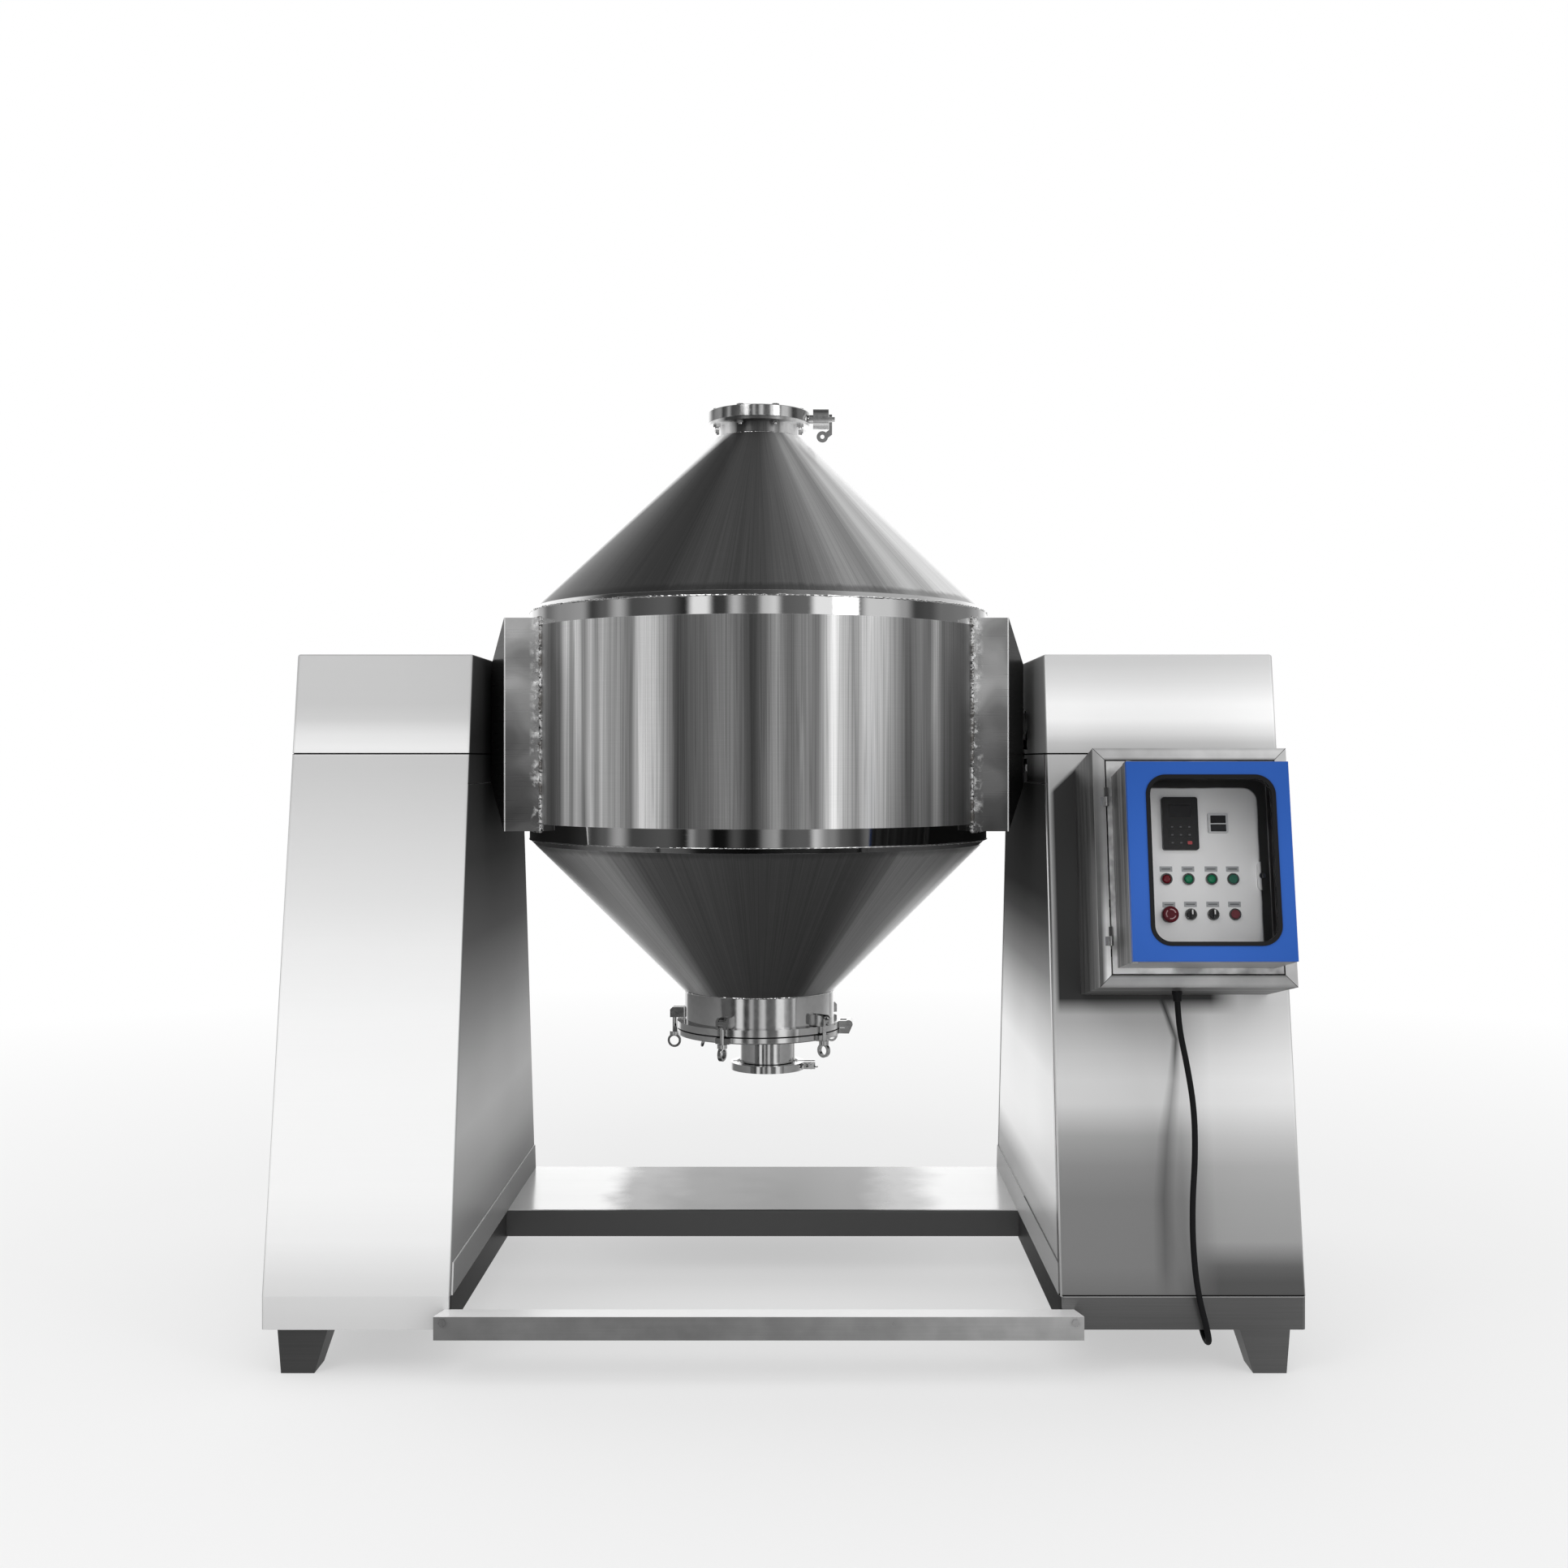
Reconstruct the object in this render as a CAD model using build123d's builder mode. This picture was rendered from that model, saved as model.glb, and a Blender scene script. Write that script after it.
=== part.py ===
from build123d import *
from math import atan, cos, pi, radians, sin, tan
import os

# Double cone mixer. Millimetres, +Z up, X along the shaft, the control cabinet at the front (-Y).
# The origin is on the floor, under the middle of the whole machine.

os.makedirs("parts", exist_ok=True)

# Stand
foot_height = 117.0
beam_height = 83.0
beam_width = 60.0
channel_wall = 6.0
seam_below_shaft = 79.0
top_above_shaft = 186.0
base_half_depth = 705.0
top_half_depth = 389.0
left_clearance = 10.0
left_width = 472.0
right_clearance = 26.0
right_width = 613.0
sheet = 3.0
seam_gap = 2.5
lip_height = 12.0
cap_sheet = 2.5
corner_radius = 8.0
cap_edge_radius = 7.0
cap_side_drop = 80.0
strip_height = 77.0
strip_thickness = 4.0
strip_end = 12.0
leg_size = 50.0
leg_wall = 6.0
deck_thickness = 20.0
leg_gap = 1.8
beam_reveal = 0.8
foot_top_width = 128.0
foot_bottom_width = 84.0
foot_inset = 35.0
foot_draft = 7.0
foot_top_depth = 120.0
foot_bottom_depth = 92.0

# Rail and tray between the pedestals
rail_left_lap = 30.0
rail_right_lap = 49.0
rail_bottom = 110.0
rail_height = 58.0
rail_depth = 60.0
rail_wall = 4.0
rail_corner = 16.0
rail_bolt_inset = 22.0
rail_bolt_radius = 6.0
tray_front = 140.0
tray_lip = 78.0
tray_sheet = 4.0

# Shaft line
shaft_height = 1638.0
shaft_radius = 40.0
shaft_fit = 0.05
bearing_height = 110.0
bearing_width = 70.0
bearing_radius = 72.0
bearing_foot_length = 260.0
bearing_foot_height = 26.0
bearing_inset = 24.0
bearing_bolt_spacing = 200.0
bearing_bolt_radius = 8.0
shaft_overhang = 30.0
notch_gap = 9.0

# Gear motor
gearbox_inset = 150.0
gearbox_width = 190.0
gearbox_depth = 250.0
gearbox_above = 128.0
gearbox_below = 236.0
gearbox_edge = 18.0
flange_margin = 45.0
flange_thickness = 16.0
deck_opening_gap = 12.0
motor_radius = 100.0
motor_length = 300.0
motor_fins = 24
fin_height = 12.0
fin_thickness = 4.0
fan_cover_length = 70.0
fan_cover_radius = 108.0
motor_flange_radius = 112.0
motor_flange_thickness = 16.0
terminal_width = 110.0
terminal_height = 120.0
terminal_depth = 62.0
terminal_rise = 130.0

# Drum
drum_radius = 657.0
drum_wall = 6.0
half_cylinder = 321.0
outlet_cone_rise = 512.0
outlet_cone_radius = 124.0
outlet_neck_radius = 115.0
outlet_neck_length = 33.0
outlet_flange_thickness = 8.0
inlet_cone_drop = 439.0
inlet_radius = 217.0
inlet_neck_length = 86.0
inlet_flange_radius = 236.5
inlet_flange_thickness = 19.0
gasket_thickness = 4.0
gasket_inner = 213.0
gasket_outer = 234.0
door_thickness = 16.0

# Trunnions
trunnion_half = 292.0
trunnion_rise = 33.0
hub_rise = 88.0
hub_half = 171.0
trunnion_plate = 8.0
hub_radius = 140.0
hub_thickness = 16.0

# Discharge valve
valve_radius = 147.0
valve_height = 33.0
valve_bore = 100.0
valve_edge = 2.5
valve_bolt_circle = 129.0
valve_bolt_count = 8
valve_bolt_radius = 6.0
valve_bolt_clearance = 0.3
valve_head_width = 19.0
valve_head_height = 5.0
valve_nut_height = 8.0
disc_clearance = 0.6
disc_thickness = 10.0
stem_radius = 7.0
stem_gap = 0.05
stem_boss_radius = 13.0
stem_boss_reach = 157.0
stop_housing_radius = 30.0
stop_housing_reach = 202.0
lever_gap = 1.0
lever_thickness = 9.0
lever_width = 22.0
lever_eye_radius = 16.5
lever_eye_hole = 6.0
lever_eye_thickness = 8.0
lever_drop = 51.0
lever_eye_reach = 184.0

# Manhole fittings
bolt_angles = (23.0, 95.0, 167.0, -49.0, -121.0)
bolt_circle = 247.0
pivot_rise = 49.0
pivot_radius = 5.0
pivot_fit = 0.06
ear_thickness = 7.0
ear_height = 30.0
ear_gap = 0.4
barrel_radius = 11.0
barrel_width = 15.0
shank_radius = 6.0
slot_gap = 0.6
lug_width = 42.0
lug_root = 225.0
seat_gap = 0.3
collar_radius = 14.0
collar_height = 11.0
eye_radius = 20.0
eye_hole = 13.0
eye_thickness = 11.0
hinge_angle = -85.0
hinge_reach = 262.0
hinge_width = 60.0
knuckle_radius = 12.0
knuckle_width = 24.0
hinge_pin_radius = 5.0
hinge_arm_lap = 12.0
handle_reach = 150.0
handle_span = 110.0
handle_drop = 32.0
handle_slant = 12.0
handle_radius = 5.0

# Port in the manhole door
port_offset = 25.0
port_radius = 80.0
port_wall = 4.0
port_length = 94.0
ferrule_radius = 98.0
ferrule_thickness = 6.0
clamp_radius = 107.0
clamp_lip = 4.0
clamp_bite = 9.0
clamp_split = 12.0
clamp_gap = 0.3
clamp_ear_width = 16.0
clamp_ear_reach = 138.0
clamp_bolt_radius = 5.0
clamp_bolt_reach = 126.0
wing_span = 30.0
wing_height = 17.0
wing_thickness = 4.0
wing_hub_radius = 9.0

# Control cabinet, measured on the sloping front of the right pedestal
cabinet_inset = 314.0
cabinet_rise = 1044.4
cabinet_width = 480.0
cabinet_height = 590.0
cabinet_depth = 288.0
cabinet_sheet = 2.0
bezel = 29.0
door_gap = 3.0
inner_door_thickness = 3.0
backplate_thickness = 3.0
backplate_standoff = 14.0
backplate_margin = 30.0
drive_rise = 105.0
drive_along = -90.0
drive_width = 170.0
drive_height = 240.0
drive_depth = 150.0
drive_slots = 5
drive_slot = 20.0
drive_slot_depth = 6.0
switch_rows = ((100.0, 95.0, 140.0), (-62.0, 0.0, 330.0), (-190.0, 0.0, 330.0))
switch_counts = (3, 6, 9)
switch_rail = 20.0
switch_rail_depth = 8.0
switch_height = 72.0
switch_depth = 62.0
hinge_barrel_radius = 5.0
hinge_barrel_length = 46.0
hinge_offset = 172.0
hinge_pin = 2.5
hinge_leaf = 14.0
leaf_thickness = 2.0

# Hood and window door
hood_x = -3.5
hood_y = -12.5
hood_width = 383.0
hood_height = 472.0
hood_depth = 180.0
hood_sheet = 2.0
window_gap = 2.0
window_thickness = 17.5
pane_width = 306.0
pane_height = 404.0
pane_x = 5.0
pane_y = 2.0
pane_radius = 48.0
pane_thickness = 4.0
gasket_width = 10.0
gasket_bulge = 3.0
window_pin_radius = 3.0
window_pin_inset = 5.5
window_pin_length = 14.0
window_ear_thickness = 2.5
window_ear_width = 11.0
window_ear_depth = 44.0

# Controls on the inner door, places from the hood's centre
keypad_place = (-28.5, 117.0)
keypad_size = (88.0, 131.0, 14.0)
keypad_radius = 6.0
timer_place = (65.5, 119.0)
timer_size = (49.0, 49.0, 9.0)
red_lamp_place = (-65.8, -19.5)
green_lamp_places = ((-12.0, -19.5), (44.5, -19.5))
start_place = (97.0, -19.5)
emergency_place = (-62.0, -107.0)
selector_places = ((-9.5, -106.0), (45.0, -106.0))
stop_place = (98.0, -106.0)
bezel_radius = 14.5
bezel_hole = 11.4
bezel_height = 6.0
panel_hole = 11.4
button_radius = 10.9
button_proud = 9.0
button_back = 12.0
button_travel = 4.0
mushroom_radius = 20.0
mushroom_height = 10.0
mushroom_lift = 13.0
knob_height = 12.0
grip_width = 6.0
grip_height = 11.0
lamp_height = 9.0
plate_size = (31.0, 13.0, 1.2)
plate_rise = 25.0
latch_place = (167.0, -12.0)
latch_body = (22.0, 70.0, 9.0)
latch_radius = 7.5
latch_proud = 5.0
latch_tongue = 34.0
latch_tongue_width = 12.0

# Cable
cable_radius = 7.5
gland_radius = 13.0
gland_length = 26.0
gland_x = -25.0
# The cable's corners: in from the right pedestal's inner wall, back from the stand's front, up
cable_route = (
    (308.0, -33.0, 785.0),
    (325.0, -37.0, 676.0),
    (328.0, -36.0, 560.0),
    (321.0, -33.0, 440.0),
    (324.0, -29.0, 322.0),
    (337.0, -26.0, 212.0),
    (357.0, -26.0, 104.0),
    (367.0, 21.0, 48.0),
    (375.0, 97.0, 42.0),
    (378.0, 153.0, 94.0),
    (372.0, 169.0, 190.0),
    (351.0, 207.0, 306.0),
    (325.0, 275.0, 436.0),
    (297.0, 363.0, 574.0),
    (272.0, 455.0, 722.0),
    (254.0, 530.0, 872.0),
    (246.0, 566.0, 1020.0),
)
cable_end_back = 136.0
cable_first_run = 60.0
cable_last_run = 95.0
cable_bend = 0.45
gland_back = 152.0


def save(piece, name):
    """Name a finished piece and write its file."""
    piece.part.label = name
    export_step(piece.part, "parts/" + name + ".step")


# Derived places, all from the drum's axis
trunnion_reach = drum_radius + trunnion_rise
hub_reach = drum_radius + hub_rise
left_gap = hub_reach + left_clearance
right_gap = hub_reach + right_clearance
rail_left = left_gap + rail_left_lap
rail_right = right_gap + rail_right_lap
cabinet_centre_x = right_gap + cabinet_inset
seam_height = shaft_height - seam_below_shaft
stand_top = shaft_height + top_above_shaft
slope = (base_half_depth - top_half_depth) / (stand_top - foot_height - beam_height)
tilt = atan(slope)
beam_top = foot_height + beam_height
deck_top = shaft_height - bearing_height
window_back = cabinet_depth + hood_depth + window_gap
window_front = window_back + window_thickness
window_low = cabinet_rise + hood_y - hood_height / 2
front_reach = base_half_depth - window_low * sin(tilt) + window_front * cos(tilt)
drum_x = (left_gap + left_width - right_gap - right_width) / 2
axis_y = (front_reach - base_half_depth) / 2
centre = Vector(drum_x, axis_y, shaft_height)
drum_plane = Plane(origin=centre, x_dir=(1, 0, 0), z_dir=(0, -1, 0))
drum_axis = Axis(centre, (0, 0, 1))
valve_low = half_cylinder + outlet_cone_rise + outlet_neck_length + outlet_flange_thickness
valve_middle = shaft_height + valve_low + valve_height / 2
inlet_top = -half_cylinder - inlet_cone_drop
flange_low = inlet_top - inlet_neck_length - inlet_flange_thickness
door_top = flange_low - gasket_thickness
door_low = door_top - door_thickness
pivot_z = shaft_height + inlet_top - inlet_neck_length + ear_height / 2 + 2
port_low = door_low - port_length
hinge_along = -cabinet_width / 2 + bezel + door_gap / 2
hinge_out = cabinet_depth + hinge_barrel_radius
glass_size = (pane_width - gasket_width, pane_height - gasket_width, pane_radius - gasket_width / 2)
panel_normal = Axis((0, 0, 0), (0, -cos(tilt), sin(tilt)))
upper_controls = (red_lamp_place, *green_lamp_places, start_place)
control_places = (*upper_controls, emergency_place, *selector_places, stop_place)


def half_depth(height):
    """Half the depth of a pedestal at a height above the floor."""
    return base_half_depth - max(0.0, height - beam_top) * slope


def cabinet_plane(rise, out, along=0.0):
    """Plane parallel to the sloping front, its normal pointing at the operator."""
    across = drum_x + cabinet_centre_x + along
    back = axis_y - base_half_depth + rise * sin(tilt) - out * cos(tilt)
    up = beam_top + rise * cos(tilt) + out * sin(tilt)
    return Plane(origin=(across, back, up), x_dir=(1, 0, 0), z_dir=(0, -cos(tilt), sin(tilt)))


def radial_plane(angle, height):
    """Upright plane through the drum's axis: local x points outwards, local y up."""
    turn = radians(angle)
    outward = (-sin(turn), -cos(turn), 0)
    sideways = (-cos(turn), sin(turn), 0)
    return Plane(origin=(drum_x, axis_y, height), x_dir=outward, z_dir=sideways)


def sloped_block(side, gap, width, low, high, inset, radius):
    """Prism between two heights that follows the sloping faces, its uprights rounded."""
    low_x = min(drum_x + side * (gap + inset), drum_x + side * (gap + width - inset))
    slanted = inset / cos(tilt)
    with BuildPart() as block:
        with BuildSketch(Plane.YZ.offset(low_x)):
            with BuildLine():
                Polyline(
                    (axis_y - half_depth(low) + slanted, low),
                    (axis_y - half_depth(high) + slanted, high),
                    (axis_y + half_depth(high) - slanted, high),
                    (axis_y + half_depth(low) - slanted, low),
                    close=True,
                )
            make_face()
        extrude(amount=width - 2 * inset)
        fillet(block.edges().filter_by(lambda edge: abs((edge @ 1 - edge @ 0).Z) > 1), radius)
    return block.part


def make_housing(name, side, gap, width, skirt):
    """Sheet housing of one pedestal, open at the top and the bottom."""
    top = seam_height - seam_gap
    shape = (side, gap, width)
    inner_radius = corner_radius - sheet
    lip_inset = 2 * sheet
    outer = sloped_block(*shape, beam_top, top, 0, corner_radius)
    inner = sloped_block(*shape, beam_top, top, sheet, inner_radius)
    lip_top = seam_height + lip_height
    lip = sloped_block(*shape, top - lip_height, lip_top, sheet, inner_radius)
    lip_hole = sloped_block(*shape, top - lip_height, lip_top, lip_inset, inner_radius / 2)
    wall_x = drum_x + side * gap
    with BuildPart() as housing:
        add(outer)
        add(inner, mode=Mode.SUBTRACT)
        # The wall that faces the drum ends lower, under the side of the cap
        with BuildSketch(Plane.XY.offset(seam_height - cap_side_drop - seam_gap)):
            with Locations((wall_x, axis_y)):
                Rectangle(2 * sheet, 2 * base_half_depth)
        extrude(amount=cap_side_drop + seam_gap, mode=Mode.SUBTRACT)
        # Lip that the cap slips over
        add(lip)
        add(lip_hole, mode=Mode.SUBTRACT)
        if skirt:
            extrude(housing.faces().sort_by(Axis.Z)[0], amount=beam_height)
            # The beam shows under the wall that faces the drum
            with BuildSketch(Plane.XY.offset(foot_height)):
                with Locations((wall_x, axis_y)):
                    Rectangle(2 * corner_radius, 2 * (base_half_depth - sheet))
            extrude(amount=beam_height, mode=Mode.SUBTRACT)
        # Strip along the foot of the wall that faces the drum
        strip_top = beam_top + strip_height
        with BuildSketch(Plane.YZ.offset(wall_x)):
            with BuildLine():
                Polyline(
                    (axis_y - half_depth(beam_top) + strip_end, beam_top),
                    (axis_y - half_depth(strip_top) + strip_end, strip_top),
                    (axis_y + half_depth(strip_top) - strip_end, strip_top),
                    (axis_y + half_depth(beam_top) - strip_end, beam_top),
                    close=True,
                )
            make_face()
        extrude(amount=-side * strip_thickness)
    save(housing, name)


def make_cap(name, side, gap, width):
    """Removable cap: closed on top, with a long side wall notched over the shaft."""
    low = seam_height - cap_side_drop
    outer = sloped_block(side, gap, width, low, stand_top, 0, corner_radius)
    inner_radius = corner_radius - cap_sheet
    inner = sloped_block(side, gap, width, low, stand_top - cap_sheet, cap_sheet, inner_radius)
    kept_x = drum_x + side * (gap + cap_sheet)
    far_x = drum_x + side * (gap + width + cap_sheet)
    notch = shaft_radius + notch_gap
    with BuildPart() as cap:
        add(outer)
        fillet(cap.faces().sort_by(Axis.Z)[-1].edges(), cap_edge_radius)
        add(inner, mode=Mode.SUBTRACT)
        # Only the wall that faces the drum reaches below the seam
        with BuildSketch(Plane.XY.offset(low)):
            with Locations(((kept_x + far_x) / 2, axis_y)):
                Rectangle(abs(far_x - kept_x), 2 * base_half_depth)
        extrude(amount=cap_side_drop, mode=Mode.SUBTRACT)
        with BuildSketch(Plane.YZ.offset(drum_x + side * gap - 2 * cap_sheet)):
            with Locations((axis_y, shaft_height)):
                Circle(notch)
            with Locations((axis_y, (shaft_height + low) / 2)):
                Rectangle(2 * notch, shaft_height - low)
        extrude(amount=4 * cap_sheet, mode=Mode.SUBTRACT)
    save(cap, name)


def make_frame(name, side, gap, width, cover):
    """Welded frame: base ring of channel, four angle legs and the bearing deck."""
    inset = cover + beam_reveal
    inner_x = drum_x + side * gap
    outer_x = drum_x + side * (gap + width - inset)
    middle_x = (inner_x + outer_x) / 2
    ring_width = abs(outer_x - inner_x)
    ring_half = base_half_depth - inset
    ring_middle = Vector(middle_x, axis_y, foot_height + beam_height / 2)
    shell = sheet + leg_gap
    with BuildPart() as frame:
        with BuildSketch(Plane.XY.offset(foot_height)):
            with Locations((middle_x, axis_y)):
                Rectangle(ring_width, 2 * ring_half)
                Rectangle(ring_width - 2 * beam_width, 2 * (ring_half - beam_width), mode=Mode.SUBTRACT)
        extrude(amount=beam_height)
        upright = frame.edges().filter_by(Axis.Z)
        outer_edges = upright.sort_by(lambda edge: (edge.center() - ring_middle).length)[-4:]
        fillet(outer_edges, corner_radius)
        with BuildSketch(Plane.XY.offset(foot_height + channel_wall)):
            with Locations((middle_x, axis_y)):
                Rectangle(ring_width - 2 * channel_wall, 2 * (ring_half - channel_wall))
        extrude(amount=beam_height - 2 * channel_wall, mode=Mode.SUBTRACT)
        # Angle legs, parallel to the sloping faces
        leg_top = deck_top - deck_thickness
        faces = (drum_x + side * (gap + shell), drum_x + side * (gap + width - shell))
        slanted = shell / cos(tilt)
        for end in (-1, 1):
            for index, face_x in enumerate(faces):
                inward = side if index == 0 else -side
                for across, deep in ((leg_wall, leg_size), (leg_size, leg_wall)):
                    low_x = min(face_x, face_x + inward * across)
                    with BuildSketch(Plane.YZ.offset(low_x)):
                        with BuildLine():
                            Polyline(
                                (axis_y + end * (base_half_depth - slanted), beam_top),
                                (axis_y + end * (half_depth(leg_top) - slanted), leg_top),
                                (axis_y + end * (half_depth(leg_top) - slanted - deep), leg_top),
                                (axis_y + end * (base_half_depth - slanted - deep), beam_top),
                                close=True,
                            )
                        make_face()
                    extrude(amount=across)
        # Deck for the bearing
        deck_half = half_depth(deck_top) - slanted
        with BuildSketch(Plane.XY.offset(leg_top)):
            with Locations(((faces[0] + faces[1]) / 2, axis_y)):
                Rectangle(abs(faces[1] - faces[0]), 2 * deck_half)
            if side > 0:
                gear_x = drum_x + right_gap + gearbox_inset + gearbox_width / 2
                with Locations((gear_x, axis_y)):
                    hole_width = gearbox_width + 2 * deck_opening_gap
                    hole_depth = gearbox_depth + 2 * deck_opening_gap
                    Rectangle(hole_width, hole_depth, mode=Mode.SUBTRACT)
        extrude(amount=deck_thickness)
        # Tapped holes under the bearing feet
        with Locations(*bearing_bolt_places(side, gap, deck_top)):
            Hole(bearing_bolt_radius, depth=deck_thickness)
    save(frame, name)


def bearing_middle(side, gap):
    """Middle of a bearing along the shaft."""
    return drum_x + side * (gap + bearing_inset + bearing_width / 2)


def bearing_bolt_places(side, gap, height):
    """Places of the two bolts of one bearing."""
    across = bearing_middle(side, gap)
    return [(across, axis_y + end * bearing_bolt_spacing / 2, height) for end in (-1, 1)]


def make_bearing(name, side, gap):
    """Pillow block: foot, arched housing and bore for the shaft."""
    middle = bearing_middle(side, gap)
    with BuildPart() as bearing:
        with BuildSketch(Plane.YZ.offset(middle - bearing_width / 2)):
            with Locations((axis_y, shaft_height)):
                Circle(bearing_radius)
            with Locations((axis_y, deck_top + bearing_height / 2)):
                Rectangle(2 * bearing_radius, bearing_height)
            with Locations((axis_y, deck_top + bearing_foot_height / 2)):
                Rectangle(bearing_foot_length, bearing_foot_height)
        extrude(amount=bearing_width)
        with BuildSketch(Plane.YZ.offset(middle - bearing_width / 2)):
            with Locations((axis_y, shaft_height)):
                Circle(shaft_radius + shaft_fit)
        extrude(amount=bearing_width, mode=Mode.SUBTRACT)
        fillet(bearing.edges().filter_by(GeomType.CIRCLE).sort_by(Axis.Z)[-2:], 4)
        with Locations(*bearing_bolt_places(side, gap, deck_top + bearing_foot_height)):
            Hole(bearing_bolt_radius + 0.5)
    save(bearing, name)


def make_feet():
    """Tapered feet under the outer corners."""
    with BuildPart() as feet:
        for side, reach in ((-1, left_gap + left_width), (1, right_gap + right_width)):
            for end in (-1, 1):
                top_x = drum_x + side * (reach - foot_inset - foot_top_width / 2)
                low_x = drum_x + side * (reach - foot_inset - foot_draft - foot_bottom_width / 2)
                outer_y = base_half_depth - foot_inset / 2
                top_y = axis_y + end * (outer_y - foot_top_depth / 2)
                low_y = axis_y + end * (outer_y - foot_draft - foot_bottom_depth / 2)
                with BuildSketch(Plane.XY):
                    with Locations((low_x, low_y)):
                        Rectangle(foot_bottom_width, foot_bottom_depth)
                with BuildSketch(Plane.XY.offset(foot_height)):
                    with Locations((top_x, top_y)):
                        Rectangle(foot_top_width, foot_top_depth)
                loft()
    save(feet, "feet")


def make_front_rail():
    """Channel across the front, its open side against the pedestals."""
    low_x = drum_x - rail_left
    length = rail_left + rail_right
    front_y = axis_y - base_half_depth - rail_depth
    middle_z = rail_bottom + rail_height / 2
    with BuildPart() as rail:
        with BuildSketch(Plane.YZ.offset(low_x)):
            with Locations((front_y + rail_depth / 2, middle_z)):
                Rectangle(rail_depth, rail_height)
            with Locations((front_y + rail_wall + rail_depth / 2, middle_z)):
                Rectangle(rail_depth, rail_height - 2 * rail_wall, mode=Mode.SUBTRACT)
        extrude(amount=length)
        # Mitred ends of the two flanges
        for end, corner_x in ((1, low_x), (-1, low_x + length)):
            with BuildSketch(Plane.XY.offset(rail_bottom)):
                with BuildLine():
                    Polyline(
                        (corner_x, axis_y - base_half_depth),
                        (corner_x + end * rail_corner, axis_y - base_half_depth),
                        (corner_x, axis_y - base_half_depth - rail_depth + rail_wall),
                        close=True,
                    )
                make_face()
            extrude(amount=rail_height, mode=Mode.SUBTRACT)
        with Locations(*[Plane(origin=place, z_dir=(0, -1, 0)) for place in rail_bolt_places()]):
            Hole(rail_bolt_radius + 0.5, depth=2 * rail_wall)
    save(rail, "front_rail")


def rail_bolt_places():
    """Places of the bolts on the front of the rail."""
    front_y = axis_y - base_half_depth - rail_depth
    height = rail_bottom + rail_height * 0.76
    left = (drum_x - rail_left + rail_bolt_inset, front_y, height)
    right = (drum_x + rail_right - rail_bolt_inset, front_y, height)
    return [left, right]


def make_rear_tray():
    """Folded tray between the base rings, with lips all round."""
    low_x = drum_x - left_gap
    width = left_gap + right_gap
    middle_x = low_x + width / 2
    middle_y = axis_y + (tray_front + base_half_depth) / 2
    depth = base_half_depth - tray_front
    with BuildPart() as tray:
        with BuildSketch(Plane.XY.offset(beam_top - tray_lip)):
            with Locations((middle_x, middle_y)):
                Rectangle(width, depth)
        extrude(amount=tray_lip)
        fillet(tray.edges().filter_by(Axis.X).group_by(Axis.Z)[-1], 2 * tray_sheet)
        offset(amount=-tray_sheet, openings=tray.faces().sort_by(Axis.Z)[0])
    save(tray, "rear_tray")


def make_frame_bolts():
    """Bolts of the rail and of both bearings, one group."""
    with BuildPart() as bolts:
        for side, gap in ((-1, left_gap), (1, right_gap)):
            height = deck_top + bearing_foot_height
            places = [(place[0], place[1]) for place in bearing_bolt_places(side, gap, height)]
            with BuildSketch(Plane.XY.offset(height)):
                with Locations(*places):
                    RegularPolygon(1.7 * bearing_bolt_radius, 6)
            extrude(amount=1.2 * bearing_bolt_radius)
            with BuildSketch(Plane.XY.offset(deck_top - deck_thickness / 2)):
                with Locations(*places):
                    Circle(bearing_bolt_radius - 0.1)
            extrude(amount=deck_thickness / 2 + bearing_foot_height + 1)
        for place in rail_bolt_places():
            with BuildSketch(Plane(origin=place, x_dir=(1, 0, 0), z_dir=(0, -1, 0))):
                RegularPolygon(1.6 * rail_bolt_radius, 6)
            extrude(amount=rail_bolt_radius)
            with BuildSketch(Plane(origin=place, x_dir=(1, 0, 0), z_dir=(0, -1, 0))):
                Circle(rail_bolt_radius)
            extrude(amount=-rail_depth + beam_reveal)
    save(bolts, "frame_bolts")


def make_gearbox():
    """Hollow-shaft gearbox that hangs through the deck on its flange."""
    low_x = drum_x + right_gap + gearbox_inset
    middle_x = low_x + gearbox_width / 2
    low_z = shaft_height - gearbox_below
    with BuildPart() as gearbox:
        with BuildSketch(Plane.XY.offset(low_z)):
            with Locations((middle_x, axis_y)):
                RectangleRounded(gearbox_width, gearbox_depth, gearbox_edge)
        extrude(amount=gearbox_above + gearbox_below)
        fillet(gearbox.faces().sort_by(Axis.Z)[-1].edges(), gearbox_edge)
        with BuildSketch(Plane.XY.offset(deck_top)):
            with Locations((middle_x, axis_y)):
                flange = (gearbox_width + 2 * flange_margin, gearbox_depth + 2 * flange_margin)
                RectangleRounded(*flange, gearbox_edge)
        extrude(amount=flange_thickness)
        with BuildSketch(Plane.YZ.offset(low_x)):
            with Locations((axis_y, shaft_height)):
                Circle(shaft_radius + shaft_fit)
        extrude(amount=gearbox_width, mode=Mode.SUBTRACT)
    save(gearbox, "gearbox")
    return middle_x, low_z


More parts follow.
